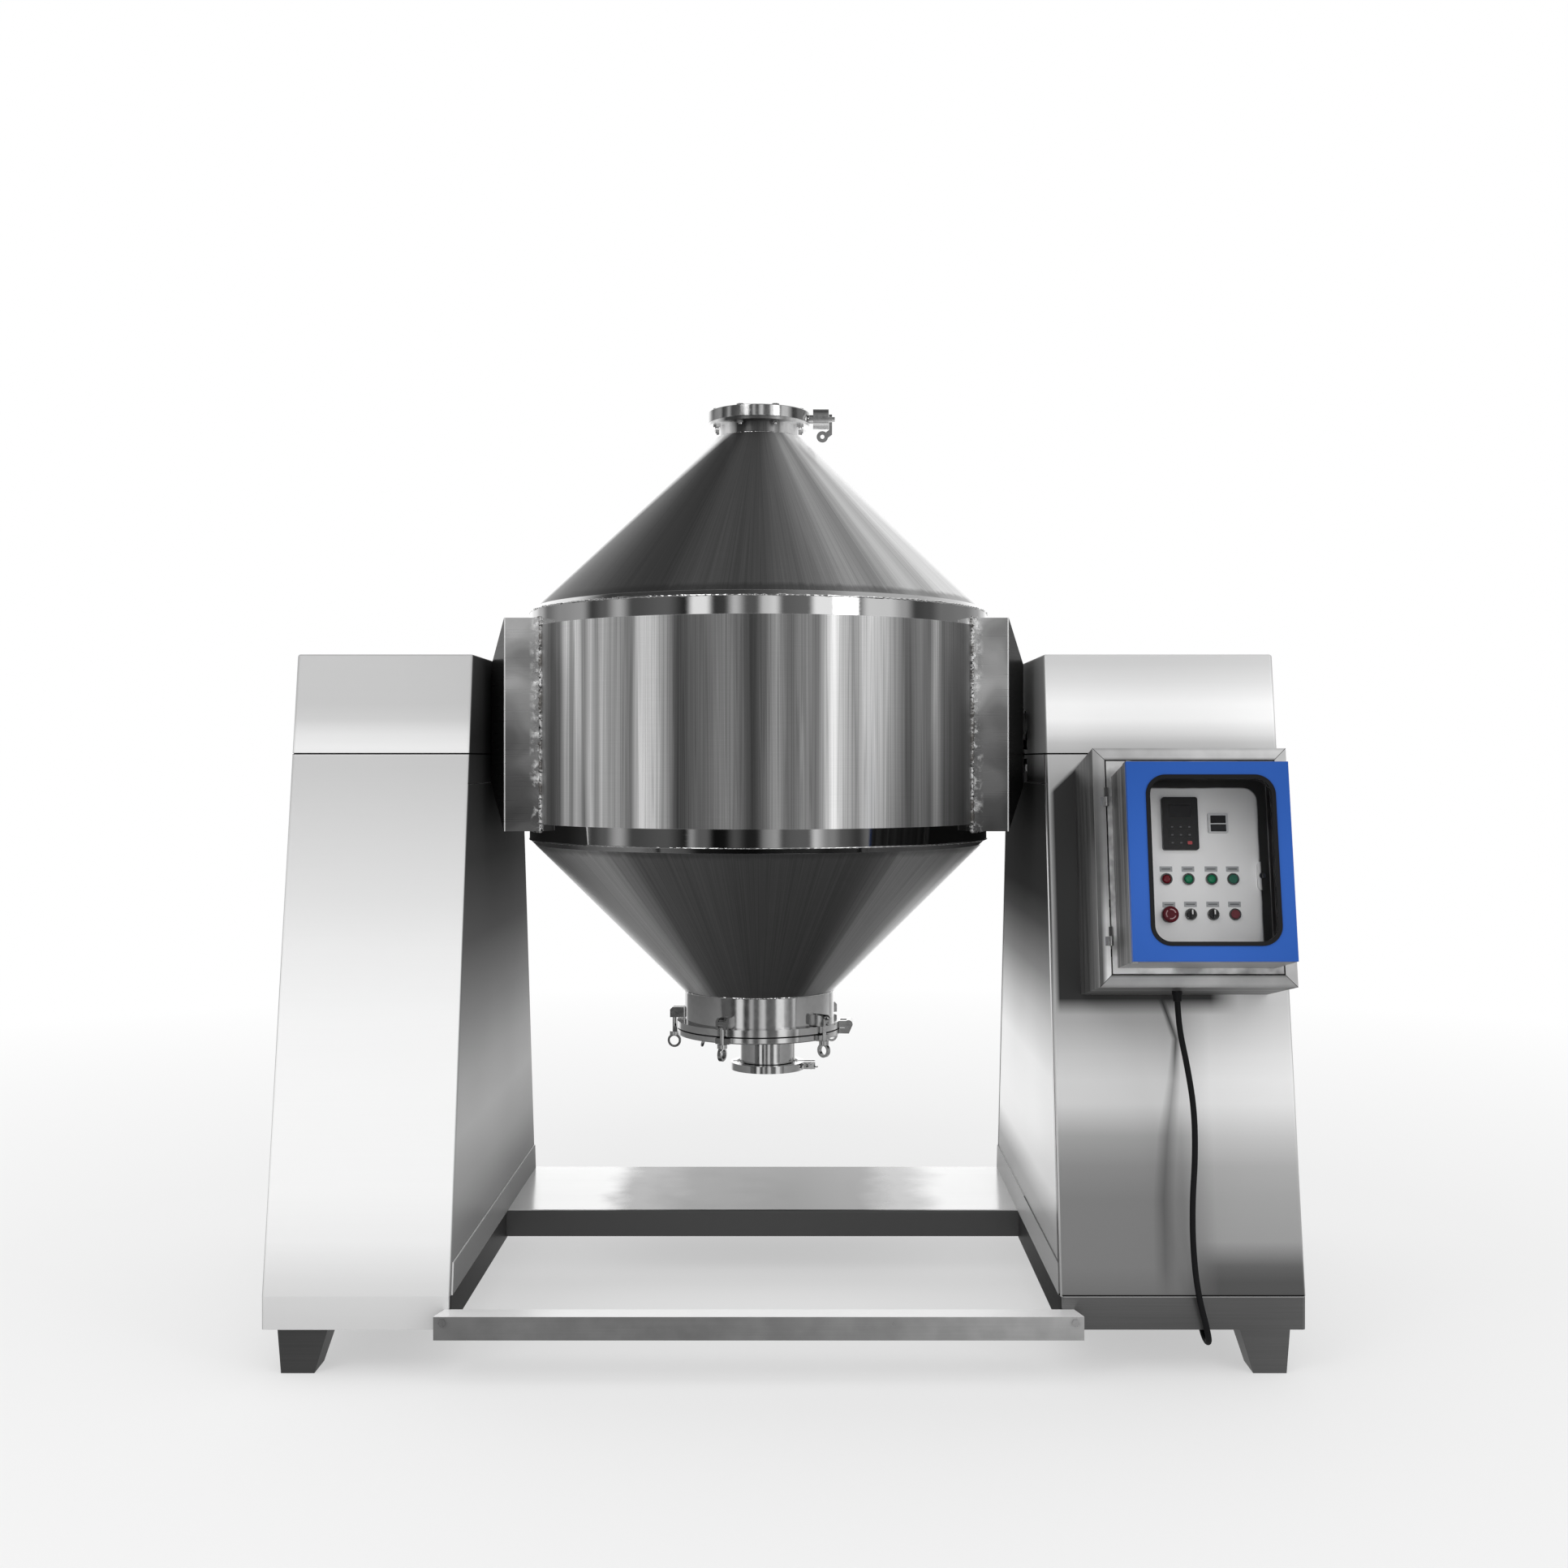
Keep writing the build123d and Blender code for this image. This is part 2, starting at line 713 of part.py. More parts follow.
def make_motor(middle_x, top_z):
    """Finned motor under the gearbox, with flange, fan cover and terminal box."""
    low_z = top_z - motor_length
    with BuildPart() as motor:
        with BuildSketch(Plane.XY.offset(top_z - motor_flange_thickness)):
            with Locations((middle_x, axis_y)):
                Circle(motor_flange_radius)
        extrude(amount=motor_flange_thickness)
        with BuildSketch(Plane.XY.offset(low_z)):
            with Locations((middle_x, axis_y)):
                Circle(motor_radius - fin_height)
                with PolarLocations(motor_radius - fin_height / 2 - 1, motor_fins):
                    Rectangle(fin_height + 2, fin_thickness)
        extrude(amount=motor_length - motor_flange_thickness)
        with BuildSketch(Plane.XY.offset(low_z - fan_cover_length)):
            with Locations((middle_x, axis_y)):
                Circle(fan_cover_radius)
        extrude(amount=fan_cover_length)
        fillet(motor.faces().sort_by(Axis.Z)[0].edges(), gearbox_edge)
        terminal_z = low_z + terminal_rise
        with BuildSketch(Plane.XY.offset(terminal_z)):
            with Locations((middle_x, axis_y - motor_radius - terminal_depth / 2 + fin_height)):
                Rectangle(terminal_width, terminal_depth + fin_height)
        extrude(amount=terminal_height)
    save(motor, "motor")
    return terminal_z


def make_drum_cylinder():
    """Rolled middle of the drum."""
    inside = drum_radius - drum_wall
    with BuildPart() as cylinder:
        with BuildSketch(Plane.XY.offset(shaft_height - half_cylinder)):
            with Locations((drum_x, axis_y)):
                Circle(drum_radius)
                Circle(inside, mode=Mode.SUBTRACT)
        extrude(amount=2 * half_cylinder)
    save(cylinder, "drum_cylinder")


def make_upper_cone():
    """Discharge cone with its neck and flange."""
    inside = drum_radius - drum_wall
    cone_top = half_cylinder + outlet_cone_rise
    neck_top = cone_top + outlet_neck_length
    with BuildPart() as cone:
        with BuildSketch(drum_plane):
            with BuildLine():
                Polyline(
                    (inside, half_cylinder),
                    (drum_radius, half_cylinder),
                    (outlet_cone_radius, cone_top),
                    (outlet_neck_radius, cone_top),
                    (outlet_neck_radius, neck_top),
                    (valve_radius, neck_top),
                    (valve_radius, neck_top + outlet_flange_thickness),
                    (valve_bore, neck_top + outlet_flange_thickness),
                    (valve_bore, cone_top - drum_wall),
                    (outlet_neck_radius - drum_wall / 2, cone_top - drum_wall),
                    close=True,
                )
            make_face()
        revolve(axis=drum_axis)
        with BuildSketch(Plane.XY.offset(shaft_height + neck_top)):
            with Locations((drum_x, axis_y)):
                with PolarLocations(valve_bolt_circle, valve_bolt_count, 180 / valve_bolt_count):
                    Circle(valve_bolt_radius + valve_bolt_clearance)
        extrude(amount=outlet_flange_thickness, mode=Mode.SUBTRACT)
    save(cone, "upper_cone")


def make_lower_cone():
    """Charging cone between the cylinder and the manhole neck."""
    inside = drum_radius - drum_wall
    with BuildPart() as cone:
        with BuildSketch(drum_plane):
            with BuildLine():
                Polyline(
                    (inside, -half_cylinder),
                    (drum_radius, -half_cylinder),
                    (inlet_radius, inlet_top),
                    (inlet_radius - drum_wall, inlet_top),
                    close=True,
                )
            make_face()
        revolve(axis=drum_axis)
    save(cone, "lower_cone")


def make_trunnion(name, side):
    """Welded box on the drum that tapers to the shaft."""
    base_x = drum_x + side * trunnion_reach
    rim = trunnion_half - trunnion_plate
    neck = hub_half - trunnion_plate
    end_inside = hub_reach - trunnion_plate
    with BuildPart() as trunnion:
        with BuildSketch(Plane.YZ.offset(drum_x)):
            with Locations((axis_y, shaft_height)):
                Rectangle(2 * trunnion_half, 2 * trunnion_half)
        extrude(amount=side * trunnion_reach)
        for half, reach in ((trunnion_half, trunnion_reach), (hub_half, hub_reach)):
            with BuildSketch(Plane.YZ.offset(drum_x + side * reach)):
                with Locations((axis_y, shaft_height)):
                    Rectangle(2 * half, 2 * half)
        loft()
        with BuildSketch(Plane.YZ.offset(drum_x)):
            with Locations((axis_y, shaft_height)):
                Rectangle(2 * rim, 2 * rim)
        extrude(amount=side * trunnion_reach, mode=Mode.SUBTRACT)
        for half, reach in ((rim, trunnion_reach), (neck, end_inside)):
            with BuildSketch(Plane.YZ.offset(drum_x + side * reach)):
                with Locations((axis_y, shaft_height)):
                    Rectangle(2 * half, 2 * half)
        loft(mode=Mode.SUBTRACT)
        # Saddle to the drum, and the bore for the shaft
        with BuildSketch(Plane.XY.offset(shaft_height - trunnion_half)):
            with Locations((drum_x, axis_y)):
                Circle(drum_radius)
        extrude(amount=2 * trunnion_half, mode=Mode.SUBTRACT)
        with BuildSketch(Plane.YZ.offset(drum_x + side * end_inside)):
            with Locations((axis_y, shaft_height)):
                Circle(shaft_radius + shaft_fit)
        extrude(amount=side * trunnion_plate, mode=Mode.SUBTRACT)
    save(trunnion, name)


def make_shaft(name, side, reach):
    """Stub shaft with a hub that seats inside the trunnion's end plate."""
    hub_x = drum_x + side * (hub_reach - trunnion_plate - hub_thickness)
    with BuildPart() as shaft:
        with BuildSketch(Plane.YZ.offset(hub_x)):
            with Locations((axis_y, shaft_height)):
                Circle(hub_radius)
        extrude(amount=side * hub_thickness)
        with BuildSketch(Plane.YZ.offset(hub_x)):
            with Locations((axis_y, shaft_height)):
                Circle(shaft_radius)
        extrude(amount=side * (reach - hub_reach + trunnion_plate + hub_thickness))
        chamfer(shaft.edges().filter_by(GeomType.CIRCLE).sort_by(Axis.X)[0 if side < 0 else -1], 3)
    save(shaft, name)


def make_valve_body():
    """Butterfly valve ring with stem boss and stop housing."""
    ring_z = shaft_height + valve_low
    with BuildPart() as body:
        with BuildSketch(Plane.XY.offset(ring_z)):
            with Locations((drum_x, axis_y)):
                Circle(valve_radius)
        extrude(amount=valve_height)
        fillet(body.edges().filter_by(GeomType.CIRCLE), valve_edge)
        for radius, start, end in (
            (stem_boss_radius, valve_radius - 2 * valve_edge, stem_boss_reach),
            (stop_housing_radius, stem_boss_reach, stop_housing_reach),
        ):
            with BuildSketch(Plane.YZ.offset(drum_x + start)):
                with Locations((axis_y, valve_middle)):
                    Circle(radius)
            extrude(amount=end - start)
        with BuildSketch(Plane.XY.offset(ring_z)):
            with Locations((drum_x, axis_y)):
                Circle(valve_bore)
                with PolarLocations(valve_bolt_circle, valve_bolt_count, 180 / valve_bolt_count):
                    Circle(valve_bolt_radius + valve_bolt_clearance)
        extrude(amount=valve_height, mode=Mode.SUBTRACT)
        with BuildSketch(Plane.YZ.offset(drum_x - valve_bore - stem_boss_radius)):
            with Locations((axis_y, valve_middle)):
                Circle(stem_radius + stem_gap)
        extrude(amount=valve_bore + stem_boss_radius + stop_housing_reach, mode=Mode.SUBTRACT)
    save(body, "valve_body")


def make_valve_bolts():
    """Bolts through the valve and the drum's flange, heads up, nuts below."""
    low = shaft_height + valve_low - outlet_flange_thickness
    high = shaft_height + valve_low + valve_height
    turn = 180 / valve_bolt_count
    with BuildPart() as bolts:
        for start, amount in ((high, valve_head_height), (low, -valve_nut_height)):
            with BuildSketch(Plane.XY.offset(start)):
                with Locations((drum_x, axis_y)):
                    with PolarLocations(valve_bolt_circle, valve_bolt_count, turn):
                        RegularPolygon(valve_head_width / 2, 6, major_radius=False)
            extrude(amount=amount)
        with BuildSketch(Plane.XY.offset(low - valve_nut_height - 4)):
            with Locations((drum_x, axis_y)):
                with PolarLocations(valve_bolt_circle, valve_bolt_count, turn):
                    Circle(valve_bolt_radius)
        extrude(amount=high - low + valve_nut_height + 5)
    save(bolts, "valve_bolts")


def make_valve_disc():
    """Disc on its stem, which leaves the body at the right."""
    disc_radius = valve_bore - disc_clearance
    with BuildPart() as disc:
        with BuildSketch(Plane.XY.offset(valve_middle - disc_thickness / 2)):
            with Locations((drum_x, axis_y)):
                Circle(disc_radius)
        extrude(amount=disc_thickness)
        fillet(disc.edges().filter_by(GeomType.CIRCLE), 2)
        with BuildSketch(Plane.YZ.offset(drum_x - valve_bore - stem_boss_radius)):
            with Locations((axis_y, valve_middle)):
                Circle(stem_radius)
        reach = stop_housing_reach + lever_gap + lever_thickness + 8
        extrude(amount=valve_bore + stem_boss_radius + reach)
    save(disc, "valve_disc")


def make_valve_lever():
    """Cranked lever with an eye, clamped on the stem."""
    plate_x = drum_x + stop_housing_reach + lever_gap
    crank_z = valve_middle - stop_housing_radius - 9
    eye_z = valve_middle - lever_drop
    with BuildPart() as lever:
        with BuildSketch(Plane.YZ.offset(plate_x)):
            with Locations((axis_y, valve_middle)):
                Circle(lever_width / 2 + 4)
            with Locations((axis_y, (valve_middle + crank_z) / 2)):
                Rectangle(lever_width, valve_middle - crank_z)
            with Locations((axis_y, valve_middle)):
                Circle(stem_radius, mode=Mode.SUBTRACT)
        extrude(amount=lever_thickness)
        # Eye under the stop housing, facing the front, and the bar that joins it
        with BuildSketch(Plane.XZ.offset(-axis_y - lever_eye_thickness / 2)):
            with BuildLine():
                Polyline(
                    (plate_x + lever_thickness, crank_z + 8),
                    (plate_x + lever_thickness, crank_z - 6),
                    (drum_x + lever_eye_reach + 6, eye_z - 10),
                    (drum_x + lever_eye_reach + 6, eye_z + 10),
                    (plate_x, crank_z + 8),
                    close=True,
                )
            make_face()
            with Locations((drum_x + lever_eye_reach, eye_z)):
                Circle(lever_eye_radius)
                Circle(lever_eye_hole, mode=Mode.SUBTRACT)
        extrude(amount=lever_eye_thickness)
    save(lever, "valve_lever")


def make_manhole_neck():
    """Neck with its flange, the ears of the swing bolts and of the hinge."""
    ear_low = pivot_z - ear_height / 2
    ear_reach = bolt_circle + barrel_radius
    ear_inner = barrel_width / 2 + ear_gap
    with BuildPart() as neck:
        with BuildSketch(drum_plane):
            with BuildLine():
                Polyline(
                    (inlet_radius - drum_wall, inlet_top),
                    (inlet_radius, inlet_top),
                    (inlet_radius, inlet_top - inlet_neck_length),
                    (inlet_flange_radius, inlet_top - inlet_neck_length),
                    (inlet_flange_radius, flange_low),
                    (inlet_radius - drum_wall, flange_low),
                    close=True,
                )
            make_face()
        revolve(axis=drum_axis)
        for angle in bolt_angles:
            for hand in (-1, 1):
                start = hand * ear_inner if hand > 0 else hand * ear_inner - ear_thickness
                with BuildSketch(radial_plane(angle, pivot_z).offset(start)):
                    with BuildLine():
                        Polyline(
                            (inlet_radius - drum_wall / 2, -ear_height / 2),
                            (ear_reach, -ear_height / 2),
                            (ear_reach, ear_height / 4),
                            (ear_reach - ear_height / 4, ear_height / 2),
                            (inlet_radius - drum_wall / 2, ear_height / 2),
                            close=True,
                        )
                    make_face()
                extrude(amount=ear_thickness)
            with BuildSketch(radial_plane(angle, pivot_z).offset(-ear_inner - ear_thickness)):
                with Locations((bolt_circle, 0)):
                    Circle(pivot_radius)
            extrude(amount=2 * (ear_inner + ear_thickness))
        # Ears of the door's hinge
        hinge_z = shaft_height + flange_low + inlet_flange_thickness / 2
        ear_start = knuckle_width / 2 + ear_gap
        for start in (ear_start, -hinge_width / 2):
            with BuildSketch(radial_plane(hinge_angle, hinge_z).offset(start)):
                with Locations(((inlet_flange_radius + hinge_reach) / 2 - 4, 0)):
                    Rectangle(hinge_reach - inlet_flange_radius + 8, inlet_flange_thickness)
                with Locations((hinge_reach, 0)):
                    Circle(knuckle_radius)
                    Circle(hinge_pin_radius, mode=Mode.SUBTRACT)
            extrude(amount=hinge_width / 2 - ear_start)
    save(neck, "manhole_neck")


def make_manhole_gasket():
    """Flat gasket between the flange and the door."""
    with BuildPart() as gasket:
        with BuildSketch(Plane.XY.offset(shaft_height + door_top)):
            with Locations((drum_x, axis_y)):
                Circle(gasket_outer)
                Circle(gasket_inner, mode=Mode.SUBTRACT)
        extrude(amount=gasket_thickness)
    save(gasket, "manhole_gasket")


def make_manhole_door():
    """Door with slotted lugs, hinge knuckle, pull handle and port."""
    top = shaft_height + door_top
    with BuildPart() as door:
        with BuildSketch(Plane.XY.offset(top - door_thickness)):
            with Locations((drum_x, axis_y)):
                Circle(inlet_flange_radius)
        extrude(amount=door_thickness)
        fillet(door.edges().filter_by(GeomType.CIRCLE).sort_by(Axis.Z)[0], 3)
        # Slotted lugs: the prongs end on the bolt's axis, so a bolt can swing out
        slot_root = bolt_circle - shank_radius - slot_gap
        for angle in bolt_angles:
            turn = radians(angle)
            outward = (-sin(turn), -cos(turn), 0)
            lug_foot = (drum_x, axis_y, top - door_thickness)
            lug_plane = Plane(origin=lug_foot, x_dir=outward, z_dir=(0, 0, 1))
            with BuildSketch(lug_plane):
                with Locations(((lug_root + bolt_circle) / 2, 0)):
                    Rectangle(bolt_circle - lug_root, lug_width)
            extrude(amount=door_thickness)
            with BuildSketch(lug_plane):
                with Locations((slot_root + lug_width / 2, 0)):
                    Rectangle(lug_width, 2 * (shank_radius + slot_gap))
            extrude(amount=door_thickness, mode=Mode.SUBTRACT)
        # Knuckle and pin of the hinge
        hinge_z = shaft_height + flange_low + inlet_flange_thickness / 2
        arm_low = top - door_thickness - hinge_z
        arm_top = door_top - flange_low - inlet_flange_thickness / 2
        arm_start = inlet_flange_radius - hinge_arm_lap
        with BuildSketch(radial_plane(hinge_angle, hinge_z).offset(-knuckle_width / 2)):
            with BuildLine():
                Polyline(
                    (arm_start, arm_low),
                    (hinge_reach, arm_low),
                    (hinge_reach + knuckle_radius, -2),
                    (hinge_reach - knuckle_radius, 0),
                    (hinge_reach - knuckle_radius, arm_top),
                    (arm_start, arm_top),
                    close=True,
                )
            make_face()
            with Locations((hinge_reach, 0)):
                Circle(knuckle_radius)
        extrude(amount=knuckle_width)
        with BuildSketch(radial_plane(hinge_angle, hinge_z).offset(-hinge_width / 2 - 4)):
            with Locations((hinge_reach, 0)):
                Circle(hinge_pin_radius - shaft_fit)
        extrude(amount=hinge_width + 8)
        # Port with its ferrule
        port_x = drum_x + port_offset
        with BuildSketch(Plane.XY.offset(shaft_height + port_low)):
            with Locations((port_x, axis_y)):
                Circle(port_radius)
        extrude(amount=port_length)
        with BuildSketch(Plane.XY.offset(shaft_height + port_low)):
            with Locations((port_x, axis_y)):
                Circle(ferrule_radius)
        extrude(amount=ferrule_thickness)
        with BuildSketch(Plane.XY.offset(shaft_height + port_low)):
            with Locations((port_x, axis_y)):
                Circle(port_radius - port_wall)
        extrude(amount=port_length + door_thickness, mode=Mode.SUBTRACT)
        # Pull handle
        grip_x = -handle_reach - handle_slant
        grip_z = top - door_thickness - handle_drop
        with BuildLine() as grip:
            FilletPolyline(
                (drum_x - handle_reach, axis_y - handle_span / 2, top - door_thickness / 2),
                (drum_x + grip_x, axis_y - handle_span / 2, grip_z),
                (drum_x + grip_x, axis_y + handle_span / 2, grip_z),
                (drum_x - handle_reach, axis_y + handle_span / 2, top - door_thickness / 2),
                radius=3 * handle_radius,
            )
        with BuildSketch(Plane(origin=grip.line @ 0, z_dir=grip.line % 0)):
            Circle(handle_radius)
        sweep(path=grip.line)
    save(door, "manhole_door")


def make_port_cap():
    """Blank cap under the port."""
    with BuildPart() as cap:
        with BuildSketch(Plane.XY.offset(shaft_height + port_low - ferrule_thickness)):
            with Locations((drum_x + port_offset, axis_y)):
                Circle(ferrule_radius)
        extrude(amount=ferrule_thickness)
        with BuildSketch(Plane.XY.offset(shaft_height + port_low - ferrule_thickness)):
            with Locations((drum_x + port_offset, axis_y)):
                Circle(port_radius)
        extrude(amount=2, mode=Mode.SUBTRACT)
    save(cap, "port_cap")


def make_port_clamp():
    """Clamp ring in two halves, with the ears and the bolt at the right."""
    port_x = drum_x + port_offset
    middle = shaft_height + port_low
    grip = ferrule_thickness + clamp_gap
    with BuildPart() as clamp:
        with BuildSketch(Plane.XY.offset(middle - grip - clamp_lip)):
            with Locations((port_x, axis_y)):
                Circle(clamp_radius)
                Circle(ferrule_radius - clamp_bite, mode=Mode.SUBTRACT)
            ear_length = clamp_ear_reach - clamp_radius + 8
            ear_x = port_x + clamp_ear_reach - ear_length / 2
            for hand in (-1, 1):
                with Locations((ear_x, axis_y + hand * clamp_ear_width)):
                    Rectangle(ear_length, clamp_ear_width)
        extrude(amount=2 * (grip + clamp_lip))
        with BuildSketch(Plane.XY.offset(middle - grip)):
            with Locations((port_x, axis_y)):
                Circle(ferrule_radius + clamp_gap)
        extrude(amount=2 * grip, mode=Mode.SUBTRACT)
        # The halves part along the X axis
        with BuildSketch(Plane.XY.offset(middle - grip - clamp_lip)):
            with Locations((port_x, axis_y)):
                Rectangle(3 * clamp_radius, clamp_split)
        extrude(amount=2 * (grip + clamp_lip), mode=Mode.SUBTRACT)
        # Pin that carries the halves at the left
        with BuildSketch(Plane.XY.offset(middle - grip - clamp_lip)):
            with Locations((port_x - clamp_radius + clamp_lip, axis_y)):
                Rectangle(2 * clamp_lip, clamp_split)
        extrude(amount=2 * (grip + clamp_lip))
        # Bolt across the ears
        bolt_x = port_x + clamp_bolt_reach
        bolt_head = (bolt_x, axis_y + 1.5 * clamp_ear_width + 6, middle)
        with BuildSketch(Plane(origin=bolt_head, z_dir=(0, -1, 0))):
            Circle(clamp_bolt_radius)
        extrude(amount=3 * clamp_ear_width + 6 + 16)
    save(clamp, "port_clamp")
    return bolt_x, axis_y - 1.5 * clamp_ear_width, middle


def make_wing_nut(bolt_x, seat_y, height):
    """Wing nut on the front end of the clamp's bolt."""
    start = seat_y - seat_gap
    with BuildPart() as nut:
        with BuildSketch(Plane(origin=(bolt_x, start, height), x_dir=(1, 0, 0), z_dir=(0, -1, 0))):
            Circle(wing_hub_radius)
            Circle(clamp_bolt_radius + shaft_fit, mode=Mode.SUBTRACT)
        extrude(amount=10)
        wing_plane = Plane(origin=(bolt_x, start, height - wing_thickness / 2))
        for hand in (-1, 1):
            with BuildSketch(wing_plane):
                with BuildLine():
                    Polyline(
                        (hand * (wing_hub_radius - 2), -1),
                        (hand * (wing_hub_radius - 2), -9),
                        (hand * wing_span / 2, -wing_height - 5),
                        (hand * (wing_span / 2 + 5), -wing_height),
                        close=True,
                    )
                make_face()
            extrude(amount=wing_thickness)
    save(nut, "wing_nut")


def make_swing_bolt(name, angle):
    """Bolt on a pivot with its eye nut screwed on."""
    seat = door_low + shaft_height - seat_gap - pivot_z
    eye_z = seat - collar_height - eye_radius + 4
    turn = radians(angle)
    with BuildPart() as bolt:
        with BuildSketch(radial_plane(angle, pivot_z).offset(-barrel_width / 2)):
            with Locations((bolt_circle, 0)):
                Circle(barrel_radius)
        extrude(amount=barrel_width)
        foot = (drum_x - sin(turn) * bolt_circle, axis_y - cos(turn) * bolt_circle)
        with BuildSketch(Plane.XY.offset(pivot_z + seat - collar_height)):
            with Locations(foot):
                Circle(shank_radius)
        extrude(amount=-seat + collar_height)
        with BuildSketch(Plane.XY.offset(pivot_z + seat - collar_height)):
            with Locations(foot):
                Circle(collar_radius)
        extrude(amount=collar_height)
        with BuildSketch(radial_plane(angle, pivot_z).offset(-eye_thickness / 2)):
            with Locations((bolt_circle, eye_z)):
                Circle(eye_radius)
                Circle(eye_hole, mode=Mode.SUBTRACT)
        extrude(amount=eye_thickness)
        fillet(bolt.edges().filter_by(GeomType.CIRCLE).sort_by(Axis.Z)[:1], 2)
        with BuildSketch(radial_plane(angle, pivot_z).offset(-barrel_width / 2)):
            with Locations((bolt_circle, 0)):
                Circle(pivot_radius + pivot_fit)
        extrude(amount=barrel_width, mode=Mode.SUBTRACT)
    save(bolt, name)


def make_cabinet_box():
    """Enclosure with a bezel round its front."""
    with BuildPart() as box:
        with BuildSketch(cabinet_plane(cabinet_rise, 0)):
            Rectangle(cabinet_width, cabinet_height)
        extrude(amount=cabinet_depth)
        offset(amount=-cabinet_sheet, kind=Kind.INTERSECTION, openings=front_face(box))
        with BuildSketch(cabinet_plane(cabinet_rise, cabinet_depth)):
            Rectangle(cabinet_width, cabinet_height)
            Rectangle(cabinet_width - 2 * bezel, cabinet_height - 2 * bezel, mode=Mode.SUBTRACT)
        extrude(amount=-cabinet_sheet)
        with BuildSketch(gland_plane()):
            Circle(gland_radius - 4)
        extrude(amount=2 * cabinet_sheet, both=True, mode=Mode.SUBTRACT)
    save(box, "cabinet_box")


def front_face(builder):
    """The face that looks along the sloping front's normal."""
    return builder.faces().sort_by(panel_normal)[-1]


def gland_plane():
    """Plane on the cabinet's bottom, its normal pointing out."""
    origin = cabinet_plane(cabinet_rise - cabinet_height / 2, gland_back, gland_x).origin
    return Plane(origin=origin, x_dir=(1, 0, 0), z_dir=(0, -sin(tilt), -cos(tilt)))


def make_backplate():
    """Mounting plate on four standoffs."""
    width = cabinet_width - 2 * backplate_margin
    height = cabinet_height - 2 * backplate_margin
    with BuildPart() as plate:
        with BuildSketch(cabinet_plane(cabinet_rise, cabinet_sheet + backplate_standoff)):
            Rectangle(width, height)
        extrude(amount=backplate_thickness)
        with BuildSketch(cabinet_plane(cabinet_rise, cabinet_sheet)):
            with GridLocations(width - backplate_margin, height - backplate_margin, 2, 2):
                Circle(backplate_standoff / 2)
        extrude(amount=backplate_standoff)
    save(plate, "cabinet_backplate")


def plate_front():
    """Distance of the backplate's front from the pedestal."""
    return cabinet_sheet + backplate_standoff + backplate_thickness


def make_inverter():
    """Drive unit with cooling ribs on its sides."""
    with BuildPart() as drive:
        with BuildSketch(cabinet_plane(cabinet_rise + drive_rise, plate_front(), drive_along)):
            RectangleRounded(drive_width, drive_height, corner_radius)
        extrude(amount=drive_depth)
        with BuildSketch(cabinet_plane(cabinet_rise + drive_rise, plate_front(), drive_along)):
            with GridLocations(drive_width, 2 * drive_slot, 2, drive_slots):
                Rectangle(2 * drive_slot_depth, drive_slot)
        extrude(amount=drive_depth * 0.8, mode=Mode.SUBTRACT)
    save(drive, "inverter")


def make_switchgear():
    """Rails with contactors, breakers and terminals."""
    with BuildPart() as gear:
        for (rise, along, width), units in zip(switch_rows, switch_counts):
            with BuildSketch(cabinet_plane(cabinet_rise + rise, plate_front(), along)):
                Rectangle(width + switch_rail, switch_rail)
            extrude(amount=switch_rail_depth)
            units_back = plate_front() + switch_rail_depth
            with BuildSketch(cabinet_plane(cabinet_rise + rise, units_back, along)):
                with GridLocations(width / units, 0, units, 1):
                    Rectangle(width / units - 4, switch_height)
            extrude(amount=switch_depth)
    save(gear, "switchgear")


def make_cabinet_hinges():
    """Fixed leaves with pins, upper and lower."""
    with BuildPart() as hinges:
        for rise in (-hinge_offset, hinge_offset):
            low = cabinet_rise + rise - hinge_barrel_length / 2
            pin_plane = upward_plane(low, hinge_out, hinge_along)
            with BuildSketch(pin_plane):
                Circle(hinge_barrel_radius)
            extrude(amount=hinge_barrel_length / 2 - ear_gap)
            with BuildSketch(pin_plane):
                Circle(hinge_pin)
            extrude(amount=hinge_barrel_length - 2)
            leaf_x = hinge_along - hinge_leaf / 2
            with BuildSketch(cabinet_plane(low + hinge_barrel_length / 4, cabinet_depth, leaf_x)):
                Rectangle(hinge_leaf, hinge_barrel_length / 2 - 2 * ear_gap)
            extrude(amount=leaf_thickness)
    save(hinges, "cabinet_hinges")


def upward_plane(rise, out, along):
    """Plane square to the cabinet's height, its normal pointing up the slope."""
    origin = cabinet_plane(rise, out, along).origin
    return Plane(origin=origin, x_dir=(1, 0, 0), z_dir=(0, sin(tilt), cos(tilt)))


def panel_plane(place, out):
    """Plane on the inner door, from the hood's centre."""
    return cabinet_plane(cabinet_rise + hood_y + place[1], cabinet_depth + out, hood_x + place[0])


